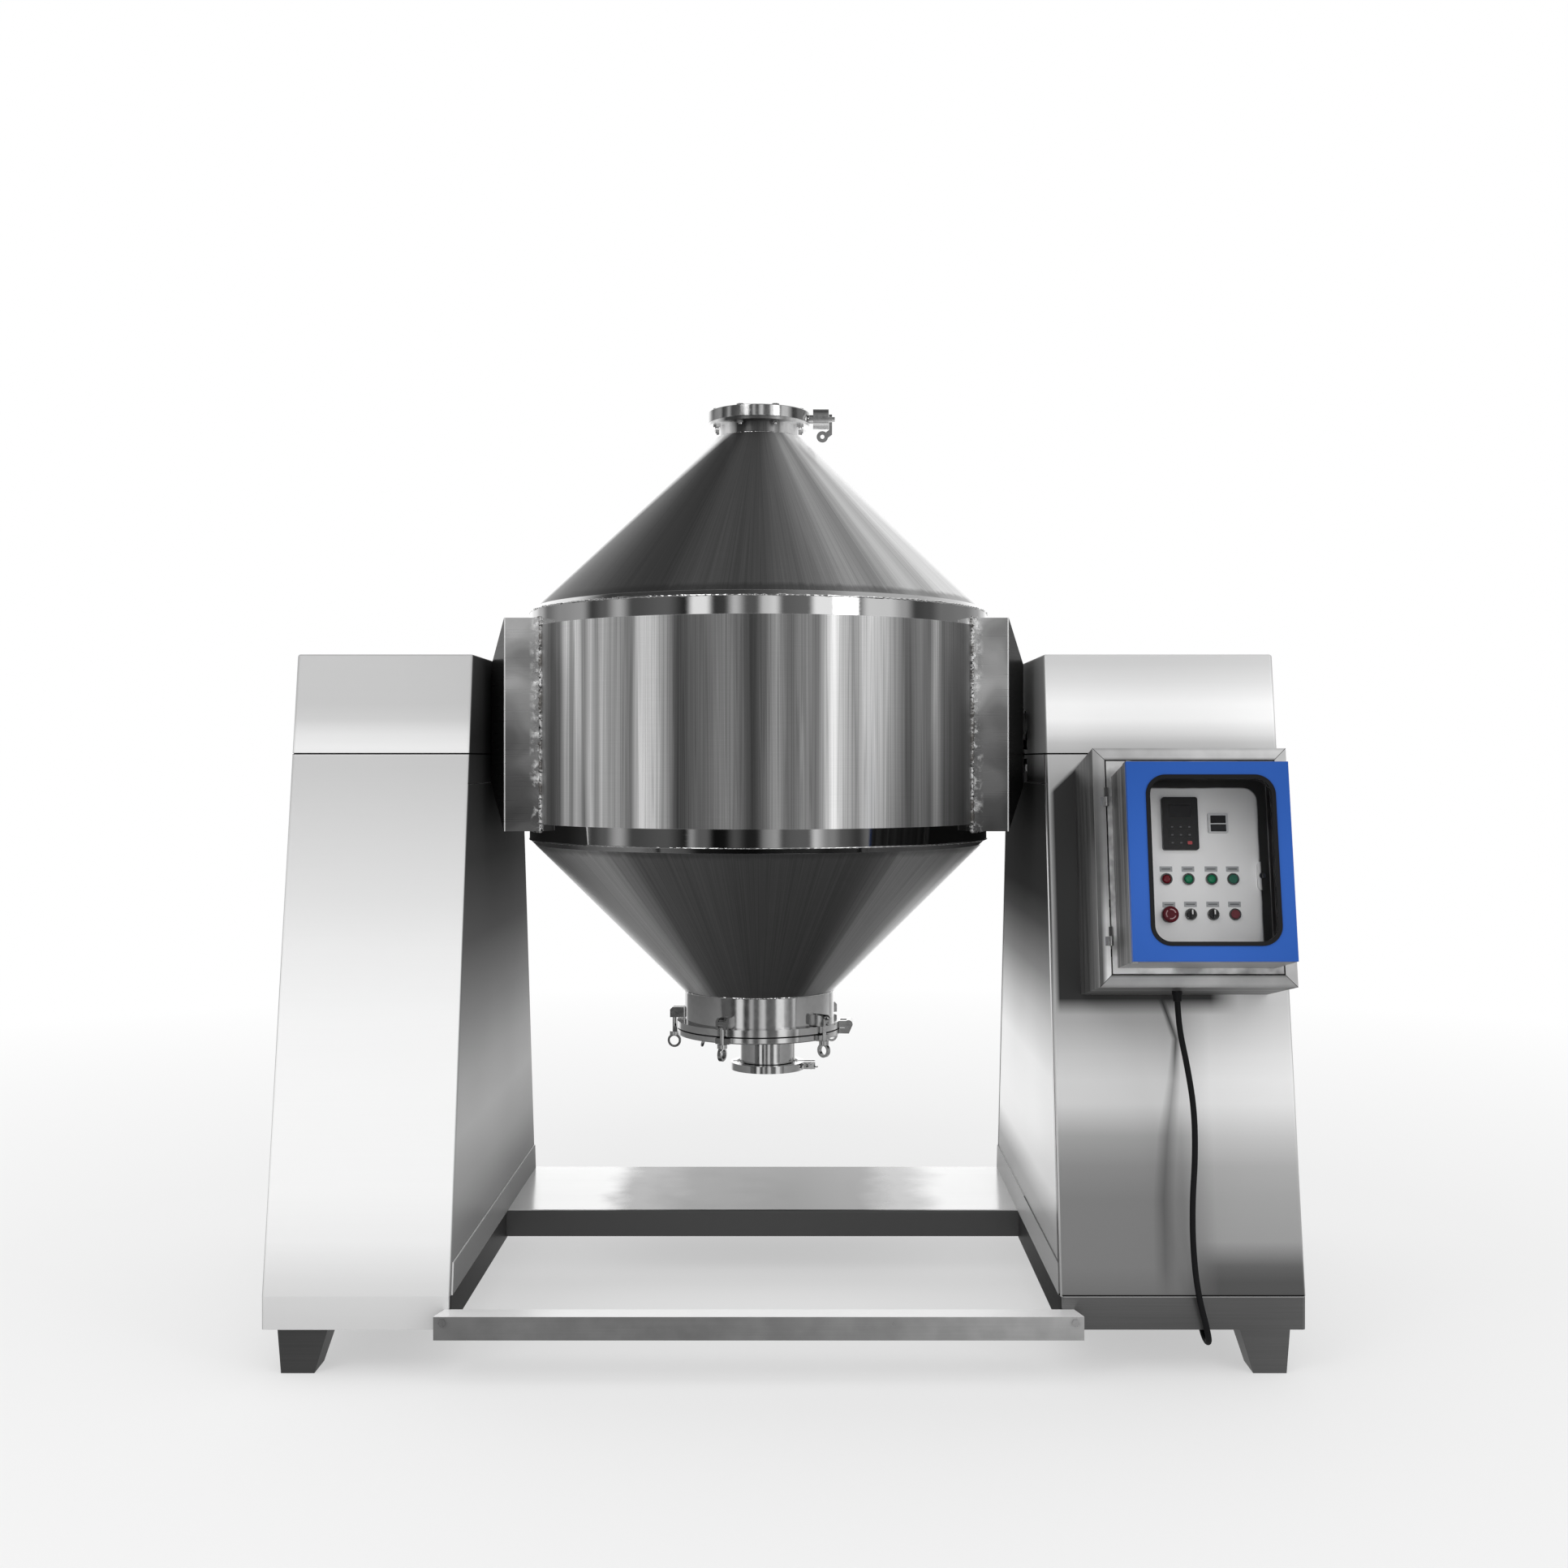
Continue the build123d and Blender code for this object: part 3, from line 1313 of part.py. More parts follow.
def make_inner_door():
    """Inner door with its hinge knuckles and the holes of the controls."""
    width = cabinet_width - 2 * bezel - 2 * door_gap
    height = cabinet_height - 2 * bezel - 2 * door_gap
    with BuildPart() as door:
        with BuildSketch(cabinet_plane(cabinet_rise, cabinet_depth - inner_door_thickness)):
            Rectangle(width, height)
        extrude(amount=inner_door_thickness)
        with BuildSketch(panel_plane((0, 0), 0)):
            with Locations(*control_places):
                Circle(panel_hole)
            with Locations(latch_place):
                Circle(latch_radius + 0.4)
        extrude(amount=-inner_door_thickness, mode=Mode.SUBTRACT)
        # Body of the latch
        with BuildSketch(panel_plane(latch_place, 0)):
            RectangleRounded(latch_body[0], latch_body[1], latch_body[0] / 2 - 1)
            Circle(latch_radius + 0.4, mode=Mode.SUBTRACT)
        extrude(amount=latch_body[2])
        for rise in (-hinge_offset, hinge_offset):
            start = cabinet_rise + rise + ear_gap
            knuckle_plane = upward_plane(start, hinge_out, hinge_along)
            leaf_x = hinge_along + hinge_leaf / 2
            leaf_rise = start + hinge_barrel_length / 4
            with BuildSketch(cabinet_plane(leaf_rise, cabinet_depth, leaf_x)):
                Rectangle(hinge_leaf, hinge_barrel_length / 2 - 2 * ear_gap)
            extrude(amount=leaf_thickness)
            with BuildSketch(knuckle_plane):
                Circle(hinge_barrel_radius)
            extrude(amount=hinge_barrel_length / 2 - ear_gap)
            with BuildSketch(knuckle_plane):
                Circle(hinge_pin + shaft_fit)
            extrude(amount=hinge_barrel_length / 2 - ear_gap, mode=Mode.SUBTRACT)
    save(door, "inner_door")


def make_hood():
    """Open hood on the inner door, with the ears and pins of the window door."""
    pin_along = -hood_width / 2 + window_pin_inset
    pin_out = hood_depth + window_gap + window_thickness / 2
    with BuildPart() as hood:
        with BuildSketch(panel_plane((0, 0), 0)):
            Rectangle(hood_width, hood_height)
            Rectangle(hood_width - 2 * hood_sheet, hood_height - 2 * hood_sheet, mode=Mode.SUBTRACT)
        extrude(amount=hood_depth)
        for end in (-1, 1):
            rise = cabinet_rise + hood_y + end * hood_height / 2
            foot = upward_plane(rise, cabinet_depth + pin_out, hood_x + pin_along)
            with BuildSketch(foot):
                with Locations((0, (window_ear_depth - window_ear_width) / 2)):
                    Rectangle(window_ear_width, window_ear_depth)
            extrude(amount=end * window_ear_thickness)
            with BuildSketch(foot):
                Circle(window_pin_radius)
            extrude(amount=-end * window_pin_length)
    save(hood, "hood")


def make_window_door():
    """Painted frame of the window door."""
    back = hood_depth + window_gap
    pin_along = -hood_width / 2 + window_pin_inset
    with BuildPart() as frame:
        with BuildSketch(panel_plane((0, 0), back)):
            Rectangle(hood_width, hood_height - 2 * ear_gap)
            with Locations((pane_x, pane_y)):
                RectangleRounded(pane_width, pane_height, pane_radius, mode=Mode.SUBTRACT)
        extrude(amount=window_thickness)
        pin_out = cabinet_depth + back + window_thickness / 2
        for end in (-1, 1):
            rise = cabinet_rise + hood_y + end * hood_height / 2
            with BuildSketch(upward_plane(rise, pin_out, hood_x + pin_along)):
                Circle(window_pin_radius + shaft_fit)
            extrude(amount=-end * (window_pin_length + 1), mode=Mode.SUBTRACT)
    save(frame, "window_door")


def make_window_gasket():
    """Rubber profile between the frame and the pane."""
    back = hood_depth + window_gap
    with BuildPart() as gasket:
        with BuildSketch(panel_plane((pane_x, pane_y), back)):
            RectangleRounded(pane_width, pane_height, pane_radius)
            RectangleRounded(
                pane_width - 2 * gasket_width,
                pane_height - 2 * gasket_width,
                pane_radius - gasket_width,
                mode=Mode.SUBTRACT,
            )
        extrude(amount=window_thickness + gasket_bulge)
        glass_back = back + (window_thickness - pane_thickness) / 2
        with BuildSketch(panel_plane((pane_x, pane_y), glass_back)):
            RectangleRounded(*glass_size)
        extrude(amount=pane_thickness, mode=Mode.SUBTRACT)
    save(gasket, "window_gasket")


def make_window_glass():
    """Clear pane in the groove of the gasket."""
    out = hood_depth + window_gap + (window_thickness - pane_thickness) / 2
    with BuildPart() as glass:
        with BuildSketch(panel_plane((pane_x, pane_y), out)):
            RectangleRounded(*glass_size)
        extrude(amount=pane_thickness)
    save(glass, "window_glass")


def make_keypad():
    """Operator keypad with a sunk display and raised keys."""
    width, height, depth = keypad_size
    with BuildPart() as keypad:
        with BuildSketch(panel_plane(keypad_place, 0)):
            RectangleRounded(width, height, keypad_radius)
        extrude(amount=depth)
        with BuildSketch(panel_plane(keypad_place, depth)):
            with Locations((0, height * 0.24)):
                Rectangle(width * 0.62, height * 0.24)
        extrude(amount=-2, mode=Mode.SUBTRACT)
        with BuildSketch(panel_plane(keypad_place, depth)):
            with Locations((0, -height * 0.22)):
                with GridLocations(width * 0.24, height * 0.15, 3, 3):
                    RectangleRounded(width * 0.17, height * 0.09, 3)
        extrude(amount=1.5)
    save(keypad, "keypad")


def make_timer():
    """Panel timer with a sunk display and two keys."""
    width, height, depth = timer_size
    with BuildPart() as timer:
        with BuildSketch(panel_plane(timer_place, 0)):
            RectangleRounded(width, height, 3)
        extrude(amount=depth)
        with BuildSketch(panel_plane(timer_place, depth)):
            with Locations((0, height * 0.18)):
                Rectangle(width * 0.78, height * 0.4)
        extrude(amount=-2, mode=Mode.SUBTRACT)
        with BuildSketch(panel_plane(timer_place, depth)):
            with Locations((0, -height * 0.26)):
                with GridLocations(width * 0.3, 0, 2, 1):
                    Rectangle(width * 0.2, height * 0.14)
        extrude(amount=1)
    save(timer, "timer")


def make_lamp(name, places):
    """Domed lamps in their bezels."""
    with BuildPart() as lamp:
        for place in places:
            with BuildSketch(panel_plane(place, -button_back)):
                Circle(button_radius)
            extrude(amount=button_back + lamp_height)
        fillet(lamp.edges().filter_by(GeomType.CIRCLE).group_by(panel_normal)[-1], 6)
    save(lamp, name)


def make_push_button(name, place):
    """Flush push button whose stem passes through the door."""
    with BuildPart() as button:
        with BuildSketch(panel_plane(place, -button_back)):
            Circle(button_radius)
        extrude(amount=button_back + button_proud)
        fillet(front_face(button).edges(), 1.5)
    save(button, name)


def make_emergency_stop():
    """Mushroom head on its stem."""
    with BuildPart() as stop:
        with BuildSketch(panel_plane(emergency_place, -button_back)):
            Circle(button_radius)
        extrude(amount=button_back + mushroom_lift)
        with BuildSketch(panel_plane(emergency_place, mushroom_lift)):
            Circle(mushroom_radius)
        extrude(amount=mushroom_height)
        fillet(front_face(stop).edges(), 6)
    save(stop, "emergency_stop")


def make_selector(name, place):
    """Rotary selector with a raised grip."""
    with BuildPart() as selector:
        with BuildSketch(panel_plane(place, -button_back)):
            Circle(button_radius)
        extrude(amount=button_back + knob_height)
        with BuildSketch(panel_plane(place, knob_height)):
            RectangleRounded(grip_width, 2 * button_radius - 1, grip_width / 2 - 0.5)
        extrude(amount=grip_height)
    save(selector, name)


def make_bezels():
    """Metal rings round the controls."""
    with BuildPart() as rings:
        with BuildSketch(panel_plane((0, 0), 0)):
            with Locations(*control_places):
                Circle(bezel_radius)
                Circle(bezel_hole, mode=Mode.SUBTRACT)
        extrude(amount=bezel_height)
    save(rings, "control_bezels")


def make_plates():
    """Blank plates above the controls."""
    with BuildPart() as plates:
        with BuildSketch(panel_plane((0, plate_rise), 0)):
            with Locations(*control_places):
                Rectangle(plate_size[0], plate_size[1])
        extrude(amount=plate_size[2])
    save(plates, "legend_plates")


def make_latch():
    """Turning barrel of the latch with its tongue behind the door."""
    with BuildPart() as latch:
        with BuildSketch(panel_plane(latch_place, -inner_door_thickness - 6)):
            Circle(latch_radius)
        extrude(amount=inner_door_thickness + 6 + latch_body[2] + latch_proud)
        with BuildSketch(panel_plane(latch_place, latch_body[2] + latch_proud)):
            Rectangle(2.4, 1.5 * latch_radius)
        extrude(amount=-3, mode=Mode.SUBTRACT)
        with BuildSketch(panel_plane(latch_place, -inner_door_thickness - 4)):
            with Locations((latch_tongue / 2 - 6, 0)):
                Rectangle(latch_tongue, latch_tongue_width)
        extrude(amount=2.5)
    save(latch, "panel_latch")


def make_gland():
    """Cable gland under the cabinet."""
    with BuildPart() as gland:
        with BuildSketch(gland_plane()):
            RegularPolygon(gland_radius, 6)
        extrude(amount=8)
        with BuildSketch(gland_plane().offset(8)):
            Circle(gland_radius - 1)
        extrude(amount=gland_length - 8, taper=6)
        with BuildSketch(gland_plane()):
            Circle(gland_radius - 4.2)
        extrude(amount=-cabinet_sheet - 4)
    save(gland, "cable_gland")


def make_cable(middle_x, end_z):
    """Motor lead: straight runs joined by arcs as large as the runs allow."""
    end = Vector(middle_x, axis_y - cable_end_back, end_z)
    wall_x = drum_x + right_gap
    front_y = axis_y - base_half_depth
    corners = [Vector(wall_x + along, front_y + back, up) for along, back, up in cable_route]
    start = gland_plane().offset(gland_length).origin
    below_gland = gland_plane().offset(gland_length + cable_first_run).origin
    points = [start, below_gland, *corners, end - Vector(0, 0, cable_last_run), end]
    radii = []
    for before, corner, after in zip(points, points[1:], points[2:]):
        shorter = min((corner - before).length, (after - corner).length)
        turn = radians((corner - before).get_angle(after - corner))
        radii.append(cable_bend * shorter / tan(turn / 2))
    with BuildPart() as cable:
        with BuildLine() as route:
            FilletPolyline(*points, radius=radii)
        with BuildSketch(Plane(origin=route.line @ 0, z_dir=route.line % 0)):
            Circle(cable_radius)
        sweep(path=route.line)
    save(cable, "motor_cable")
    print("cable radii", [round(radius) for radius in radii])
    length = sum(edge.length for edge in route.edges())
    share = cable.part.volume / (length * cable_radius**2 * pi)
    print("cable length", round(length), "volume over section times length", round(share, 4))


make_housing("left_housing", -1, left_gap, left_width, True)
make_housing("right_housing", 1, right_gap, right_width, False)
make_cap("left_cap", -1, left_gap, left_width)
make_cap("right_cap", 1, right_gap, right_width)
make_frame("left_frame", -1, left_gap, left_width, sheet)
make_frame("right_frame", 1, right_gap, right_width, 0.0)
make_bearing("left_bearing", -1, left_gap)
make_bearing("right_bearing", 1, right_gap)
make_feet()
make_front_rail()
make_rear_tray()
make_frame_bolts()
gear_middle, gear_low = make_gearbox()
terminal_low = make_motor(gear_middle, gear_low)

make_drum_cylinder()
make_upper_cone()
make_lower_cone()
make_trunnion("left_trunnion", -1)
make_trunnion("right_trunnion", 1)
make_shaft("left_shaft", -1, left_gap + bearing_inset + bearing_width + shaft_overhang)
make_shaft("right_shaft", 1, right_gap + gearbox_inset + gearbox_width + shaft_overhang)
make_valve_body()
make_valve_bolts()
make_valve_disc()
make_valve_lever()
make_manhole_neck()
make_manhole_gasket()
make_manhole_door()
make_port_cap()
wing_place = make_port_clamp()
make_wing_nut(*wing_place)
for number, bolt_angle in enumerate(bolt_angles, start=1):
    make_swing_bolt("swing_bolt_" + str(number), bolt_angle)

make_cabinet_box()
make_backplate()
make_inverter()
make_switchgear()
make_cabinet_hinges()
make_inner_door()
make_hood()
make_window_door()
make_window_gasket()
make_window_glass()
make_keypad()
make_timer()
make_lamp("red_lamp", (red_lamp_place,))
make_lamp("green_lamps", green_lamp_places)
make_push_button("start_button", start_place)
make_push_button("stop_button", stop_place)
make_emergency_stop()
make_selector("selector_left", selector_places[0])
make_selector("selector_right", selector_places[1])
make_bezels()
make_plates()
make_latch()
make_gland()
make_cable(gear_middle, terminal_low)
print("drum axis", drum_x, axis_y, "terminal", gear_middle, terminal_low)
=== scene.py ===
from math import atan, cos, pi, radians, sin

import bmesh
import bpy
from mathutils import Matrix, Vector, noise


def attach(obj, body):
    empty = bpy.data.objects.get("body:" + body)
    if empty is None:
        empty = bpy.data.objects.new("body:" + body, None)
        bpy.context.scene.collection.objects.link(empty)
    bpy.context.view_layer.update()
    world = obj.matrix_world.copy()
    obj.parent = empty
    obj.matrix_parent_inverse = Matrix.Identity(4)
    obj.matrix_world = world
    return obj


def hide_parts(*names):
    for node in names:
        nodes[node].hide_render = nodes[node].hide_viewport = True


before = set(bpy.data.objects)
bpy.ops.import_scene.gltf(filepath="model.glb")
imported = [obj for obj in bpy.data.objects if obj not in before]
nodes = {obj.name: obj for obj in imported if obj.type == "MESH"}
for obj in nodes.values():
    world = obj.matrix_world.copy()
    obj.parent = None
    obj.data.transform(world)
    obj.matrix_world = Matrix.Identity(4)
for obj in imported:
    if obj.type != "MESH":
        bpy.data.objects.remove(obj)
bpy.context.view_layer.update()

# Places from the CAD source, in metres
DRUM_X = -0.0785
DRUM_Y = 0.163255
SHAFT_Z = 1.638
DRUM_RADIUS = 0.657
HALF_CYLINDER = 0.321
UPPER_SEAM = SHAFT_Z + HALF_CYLINDER
LOWER_SEAM = SHAFT_Z - HALF_CYLINDER
BAND_ON_CYLINDER = 0.048
BAND_ON_CONE = 0.014
CAP_SEAM = 1.559
BEAM_TOP = 0.200
STAND_TOP = 1.824
# How far a pedestal's front lies further back at its top than over the base
LEAN = 0.316
SLOPE = LEAN / (STAND_TOP - BEAM_TOP)
TILT = atan(SLOPE)
BASE_HALF_DEPTH = 0.705
TRUNNION_HALF = 0.292
RIGHT_WALL = 0.6925
CABINET_X = 1.0065
CABINET_RISE = 1.0444
CABINET_DEPTH = 0.288
CABINET_WIDTH = 0.480
CABINET_HEIGHT = 0.590
BEZEL = 0.029
HOOD_PLACE = (-0.0035, -0.0125)
HOOD_WIDTH = 0.383
HOOD_HEIGHT = 0.472
DOOR_WIDTH = CABINET_WIDTH - 2 * BEZEL
DOOR_HEIGHT = CABINET_HEIGHT - 2 * BEZEL
# Centre of the round corner of the hood's shade on the panel
SHADE_CORNER = (0.130, 0.163)

# Camera: level, with the photograph's framing as a small shift
camera_data = bpy.data.cameras.new("camera")
camera = bpy.data.objects.new("camera", camera_data)
bpy.context.scene.collection.objects.link(camera)
camera.location = (0.0407, -4.92675, 1.539)
camera.rotation_euler = (pi / 2, 0, 0)
camera_data.sensor_width = 36.0
camera_data.lens = 40.293
camera_data.shift_x = -0.0102
camera_data.shift_y = -0.01486
bpy.context.scene.camera = camera
bpy.context.scene.view_settings.view_transform = "Standard"

# Motor cable: the points of its route, as in the CAD source but for a loop that lies higher under the base
cable_route = (
    (0.9815, -0.5528, 0.9391), (0.9815, -0.5642, 0.8802), (1.0005, -0.5747, 0.7850),
    (1.0175, -0.5787, 0.6760), (1.0205, -0.5777, 0.5600), (1.0135, -0.5747, 0.4400),
    (1.0165, -0.5707, 0.3220), (1.0295, -0.5677, 0.2120), (1.0560, -0.5677, 0.1120),
    (1.0670, -0.5207, 0.0740), (1.0715, -0.4447, 0.0680), (1.0705, -0.3887, 0.1120),
    (1.0645, -0.3727, 0.1900), (1.0435, -0.3347, 0.3060), (1.0175, -0.2667, 0.4360),
    (0.9895, -0.1787, 0.5740), (0.9645, -0.0867, 0.7220), (0.9465, -0.0117, 0.8720),
    (0.9385, 0.0243, 1.0200), (0.9375, 0.0273, 1.1370), (0.9375, 0.0273, 1.2320),
)
# The points' radius is the cable's, which keeps the curve's own box true
CABLE_RADIUS = 0.0075
cable_curve = bpy.data.curves.new("motor_cable_curve", "CURVE")
cable_curve.dimensions = "3D"
cable_curve.bevel_depth = 1.0
cable_curve.bevel_resolution = 5
cable_curve.resolution_u = 10
spline = cable_curve.splines.new("NURBS")
spline.points.add(len(cable_route) - 1)
for point, where in zip(spline.points, cable_route):
    point.co = (*where, 1.0)
    point.radius = CABLE_RADIUS
spline.order_u = 3
spline.use_endpoint_u = True
cable = bpy.data.objects.new("motor_cable_curve", cable_curve)
bpy.context.scene.collection.objects.link(cable)
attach(cable, "frame")
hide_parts("motor_cable")


# Node helpers
class Maker:
    """Builds one node tree, a call for each node."""

    def __init__(self, tree):
        self.tree = tree
        self.tree.nodes.clear()

    def add(self, kind, inputs=None, **settings):
        node = self.tree.nodes.new(kind)
        for key, value in settings.items():
            setattr(node, key, value)
        for key, value in (inputs or {}).items():
            self.put(node.inputs[key], value)
        return node

    def put(self, socket, value):
        if isinstance(value, bpy.types.NodeSocket):
            self.tree.links.new(value, socket)
        elif isinstance(value, bpy.types.Node):
            self.tree.links.new(value.outputs[0], socket)
        else:
            socket.default_value = value

    def wire(self, shader, **inputs):
        """Sets or links a shader's inputs; an underscore in a name stands for a space."""
        for key, value in inputs.items():
            self.put(shader.inputs[key.replace("_", " ")], colour(value) if "Color" in key else value)

    def math(self, operation, *values, clamp=False):
        node = self.add("ShaderNodeMath", operation=operation, use_clamp=clamp)
        for socket, value in zip(node.inputs, values):
            self.put(socket, value)
        return node.outputs[0]

    def times(self, first, second):
        return self.math("MULTIPLY", first, second)

    def minus(self, first, second):
        return self.math("SUBTRACT", first, second)

    def size(self, value):
        return self.math("ABSOLUTE", value)

    def above(self, value, limit):
        return self.math("GREATER_THAN", value, limit)

    def below(self, value, limit):
        return self.math("LESS_THAN", value, limit)

    def linear(self, value, factor, start):
        """The value times the factor, plus the start."""
        return self.math("MULTIPLY_ADD", value, factor, start)

    def length(self, first, second):
        """Length of the hypotenuse over two values."""
        return self.math("SQRT", self.linear(first, first, self.times(second, second)))

    def noise(self, vector, scale, detail, **others):
        node = self.add("ShaderNodeTexNoise", {"Vector": vector, "Scale": scale, "Detail": detail, **others})
        return node.outputs[0]

    def mix(self, factor, first, second, blend="MIX"):
        node = self.add("ShaderNodeMix", data_type="RGBA", blend_type=blend)
        self.put(node.inputs[0], factor)
        self.put(node.inputs[6], colour(first))
        self.put(node.inputs[7], colour(second))
        return node.outputs[2]

    def ramp(self, value, stops, smooth=True):
        node = self.add("ShaderNodeValToRGB", {0: value})
        band = node.color_ramp
        band.interpolation = "EASE" if smooth else "LINEAR"
        while len(band.elements) < len(stops):
            band.elements.new(0.5)
        for element, (position, shade) in zip(band.elements, stops):
            element.position = position
            element.color = colour(shade)
        return node.outputs[0]

    def span(self, value, low, high):
        """0 at low, 1 at high."""
        node = self.add("ShaderNodeMapRange", {0: value, 1: low, 2: high, 3: 0.0, 4: 1.0})
        return node.outputs[0]


def colour(shade):
    """A grey, or a colour with its alpha filled in. Sockets pass through."""
    if isinstance(shade, (int, float)):
        return (shade, shade, shade, 1.0)
    if isinstance(shade, tuple) and len(shade) == 3:
        return (*shade, 1.0)
    return shade


def material(name, **inputs):
    """A material with one Principled shader; returns it, its maker and the shader."""
    made = bpy.data.materials.new(name)
    made.use_nodes = True
    maker = Maker(made.node_tree)
    shader = maker.add("ShaderNodeBsdfPrincipled")
    output = maker.add("ShaderNodeOutputMaterial")
    maker.put(output.inputs[0], shader.outputs[0])
    maker.wire(shader, **inputs)
    return made, maker, shader


def own(maker):
    """The object's own coordinates."""
    return maker.add("ShaderNodeTexCoord").outputs["Object"]


def place(maker):
    """The object's own coordinates, and X, Y and Z of them."""
    vector = own(maker)
    parts = maker.add("ShaderNodeSeparateXYZ", {0: vector})
    return vector, *parts.outputs


# Depth of the fine bumps
GRAIN_DEPTH = 0.0004


def grain(maker, vector, scale, strength, detail=3.0):
    """Fine bump from noise stretched by scale; returns the noise and the bump's normal."""
    stretched = maker.add("ShaderNodeMapping", {0: vector, "Scale": scale})
    height = maker.noise(stretched, 1.0, detail)
    bump = maker.add("ShaderNodeBump", {"Strength": strength, "Distance": GRAIN_DEPTH, "Height": height})
    return height, bump.outputs[0]


def facing(maker, axis):
    """The surface's normal along one axis, in the part's own frame."""
    normal = maker.add("ShaderNodeTexCoord").outputs["Normal"]
    return maker.add("ShaderNodeSeparateXYZ", {0: normal}).outputs[axis]


def by_height(maker, z, stops):
    """Shade by height above the floor, in metres, through the stops."""
    low, high = stops[0][0], stops[-1][0]
    scaled = [((height - low) / (high - low), shade) for height, shade in stops]
    return maker.ramp(maker.span(z, low, high), scaled, smooth=False)


def sheet_steel(name, drum_side, front, inner, outer, change=None):
    """Satin sheet with painted light, shade and reflections by height for the sloping faces, the wall towards
    the drum and the outer wall.
    """
    made, maker, shader = material(name, Specular_IOR_Level=0.0)
    vector, x, y, z = place(maker)
    # Painted light, shade and reflections by height; the right front gets its painted changes across as well
    front_shade = by_height(maker, z, front)
    if change:
        rear = maker.above(y, DRUM_Y)
        front_shade = maker.mix(rear, change(maker, front_shade, x, z), by_height(maker, z, rear_face))
    sideways = maker.times(facing(maker, 0), drum_side)
    towards_drum = maker.span(sideways, 0.4, 0.8)
    outwards = maker.span(sideways, -0.4, -0.8)
    # Painted shade and reflections on the wall towards the drum and on the outer wall
    shade = maker.mix(towards_drum, front_shade, by_height(maker, z, inner))
    shade = maker.mix(outwards, shade, by_height(maker, z, outer))
    fine, bump = grain(maker, vector, (3.0, 3.0, 700.0), 0.03)
    shade = maker.mix(0.05, shade, maker.mix(fine, 0.5, 1.0), "MULTIPLY")
    # Shadow gap of the seam
    gap = maker.times(maker.above(z, CAP_SEAM - 0.0036), maker.below(z, CAP_SEAM + 0.0006))
    metallic = maker.mix(towards_drum, 0.2, maker.times(maker.add("ShaderNodeRGBToBW", {0: shade}), 0.65))
    broad = maker.noise(vector, 2.5, 2.0)
    maker.wire(shader,
               Base_Color=maker.mix(gap, shade, 0.004),
               Metallic=maker.times(metallic, maker.minus(1.0, gap)),
               Roughness=maker.linear(broad, 0.10, 0.31),
               Normal=bump)
    return made


def cylindrical(maker, x, y):
    """Angle round the drum's upright axis, in radians, 0 towards the operator."""
    across = maker.minus(x, DRUM_X)
    back = maker.minus(DRUM_Y, y)
    return maker.math("ARCTAN2", across, back)


def by_angle(maker, angle, left, right):
    """Shade by the angle round the drum's upright axis, in degrees, through the stops of both halves."""
    halves = []
    for low, high, stops in ((-180, 0, left), (0, 180, right)):
        scaled = [((degrees - low) / (high - low), shade) for degrees, shade in stops]
        halves.append(maker.ramp(maker.span(angle, radians(low), radians(high)), scaled))
    return maker.mix(maker.above(angle, 0.0), *halves)


# Tones through noise that break up the painted reflection streaks
STREAK_TONES = [(0.0, 0.9), (0.36, 1.25), (0.43, 0.45), (0.47, 1.1), (0.52, 0.75), (0.56, 1.3),
                (0.61, 0.5), (0.68, 1.15), (1.0, 0.8)]
# Painted reflections on the lower polished band, by the angle in degrees, for each half
BAND_TONES = (
    [(-180, 0.5), (-90, 0.7), (-50, 0.35), (-42, 0.7), (-16, 0.6), (-12, 0.10), (0, 0.12)],
    [(0, 0.12), (4, 0.35), (9, 0.65), (13, 0.6), (17, 0.20), (40, 0.15), (68, 0.25), (110, 0.7), (180, 0.5)],
)


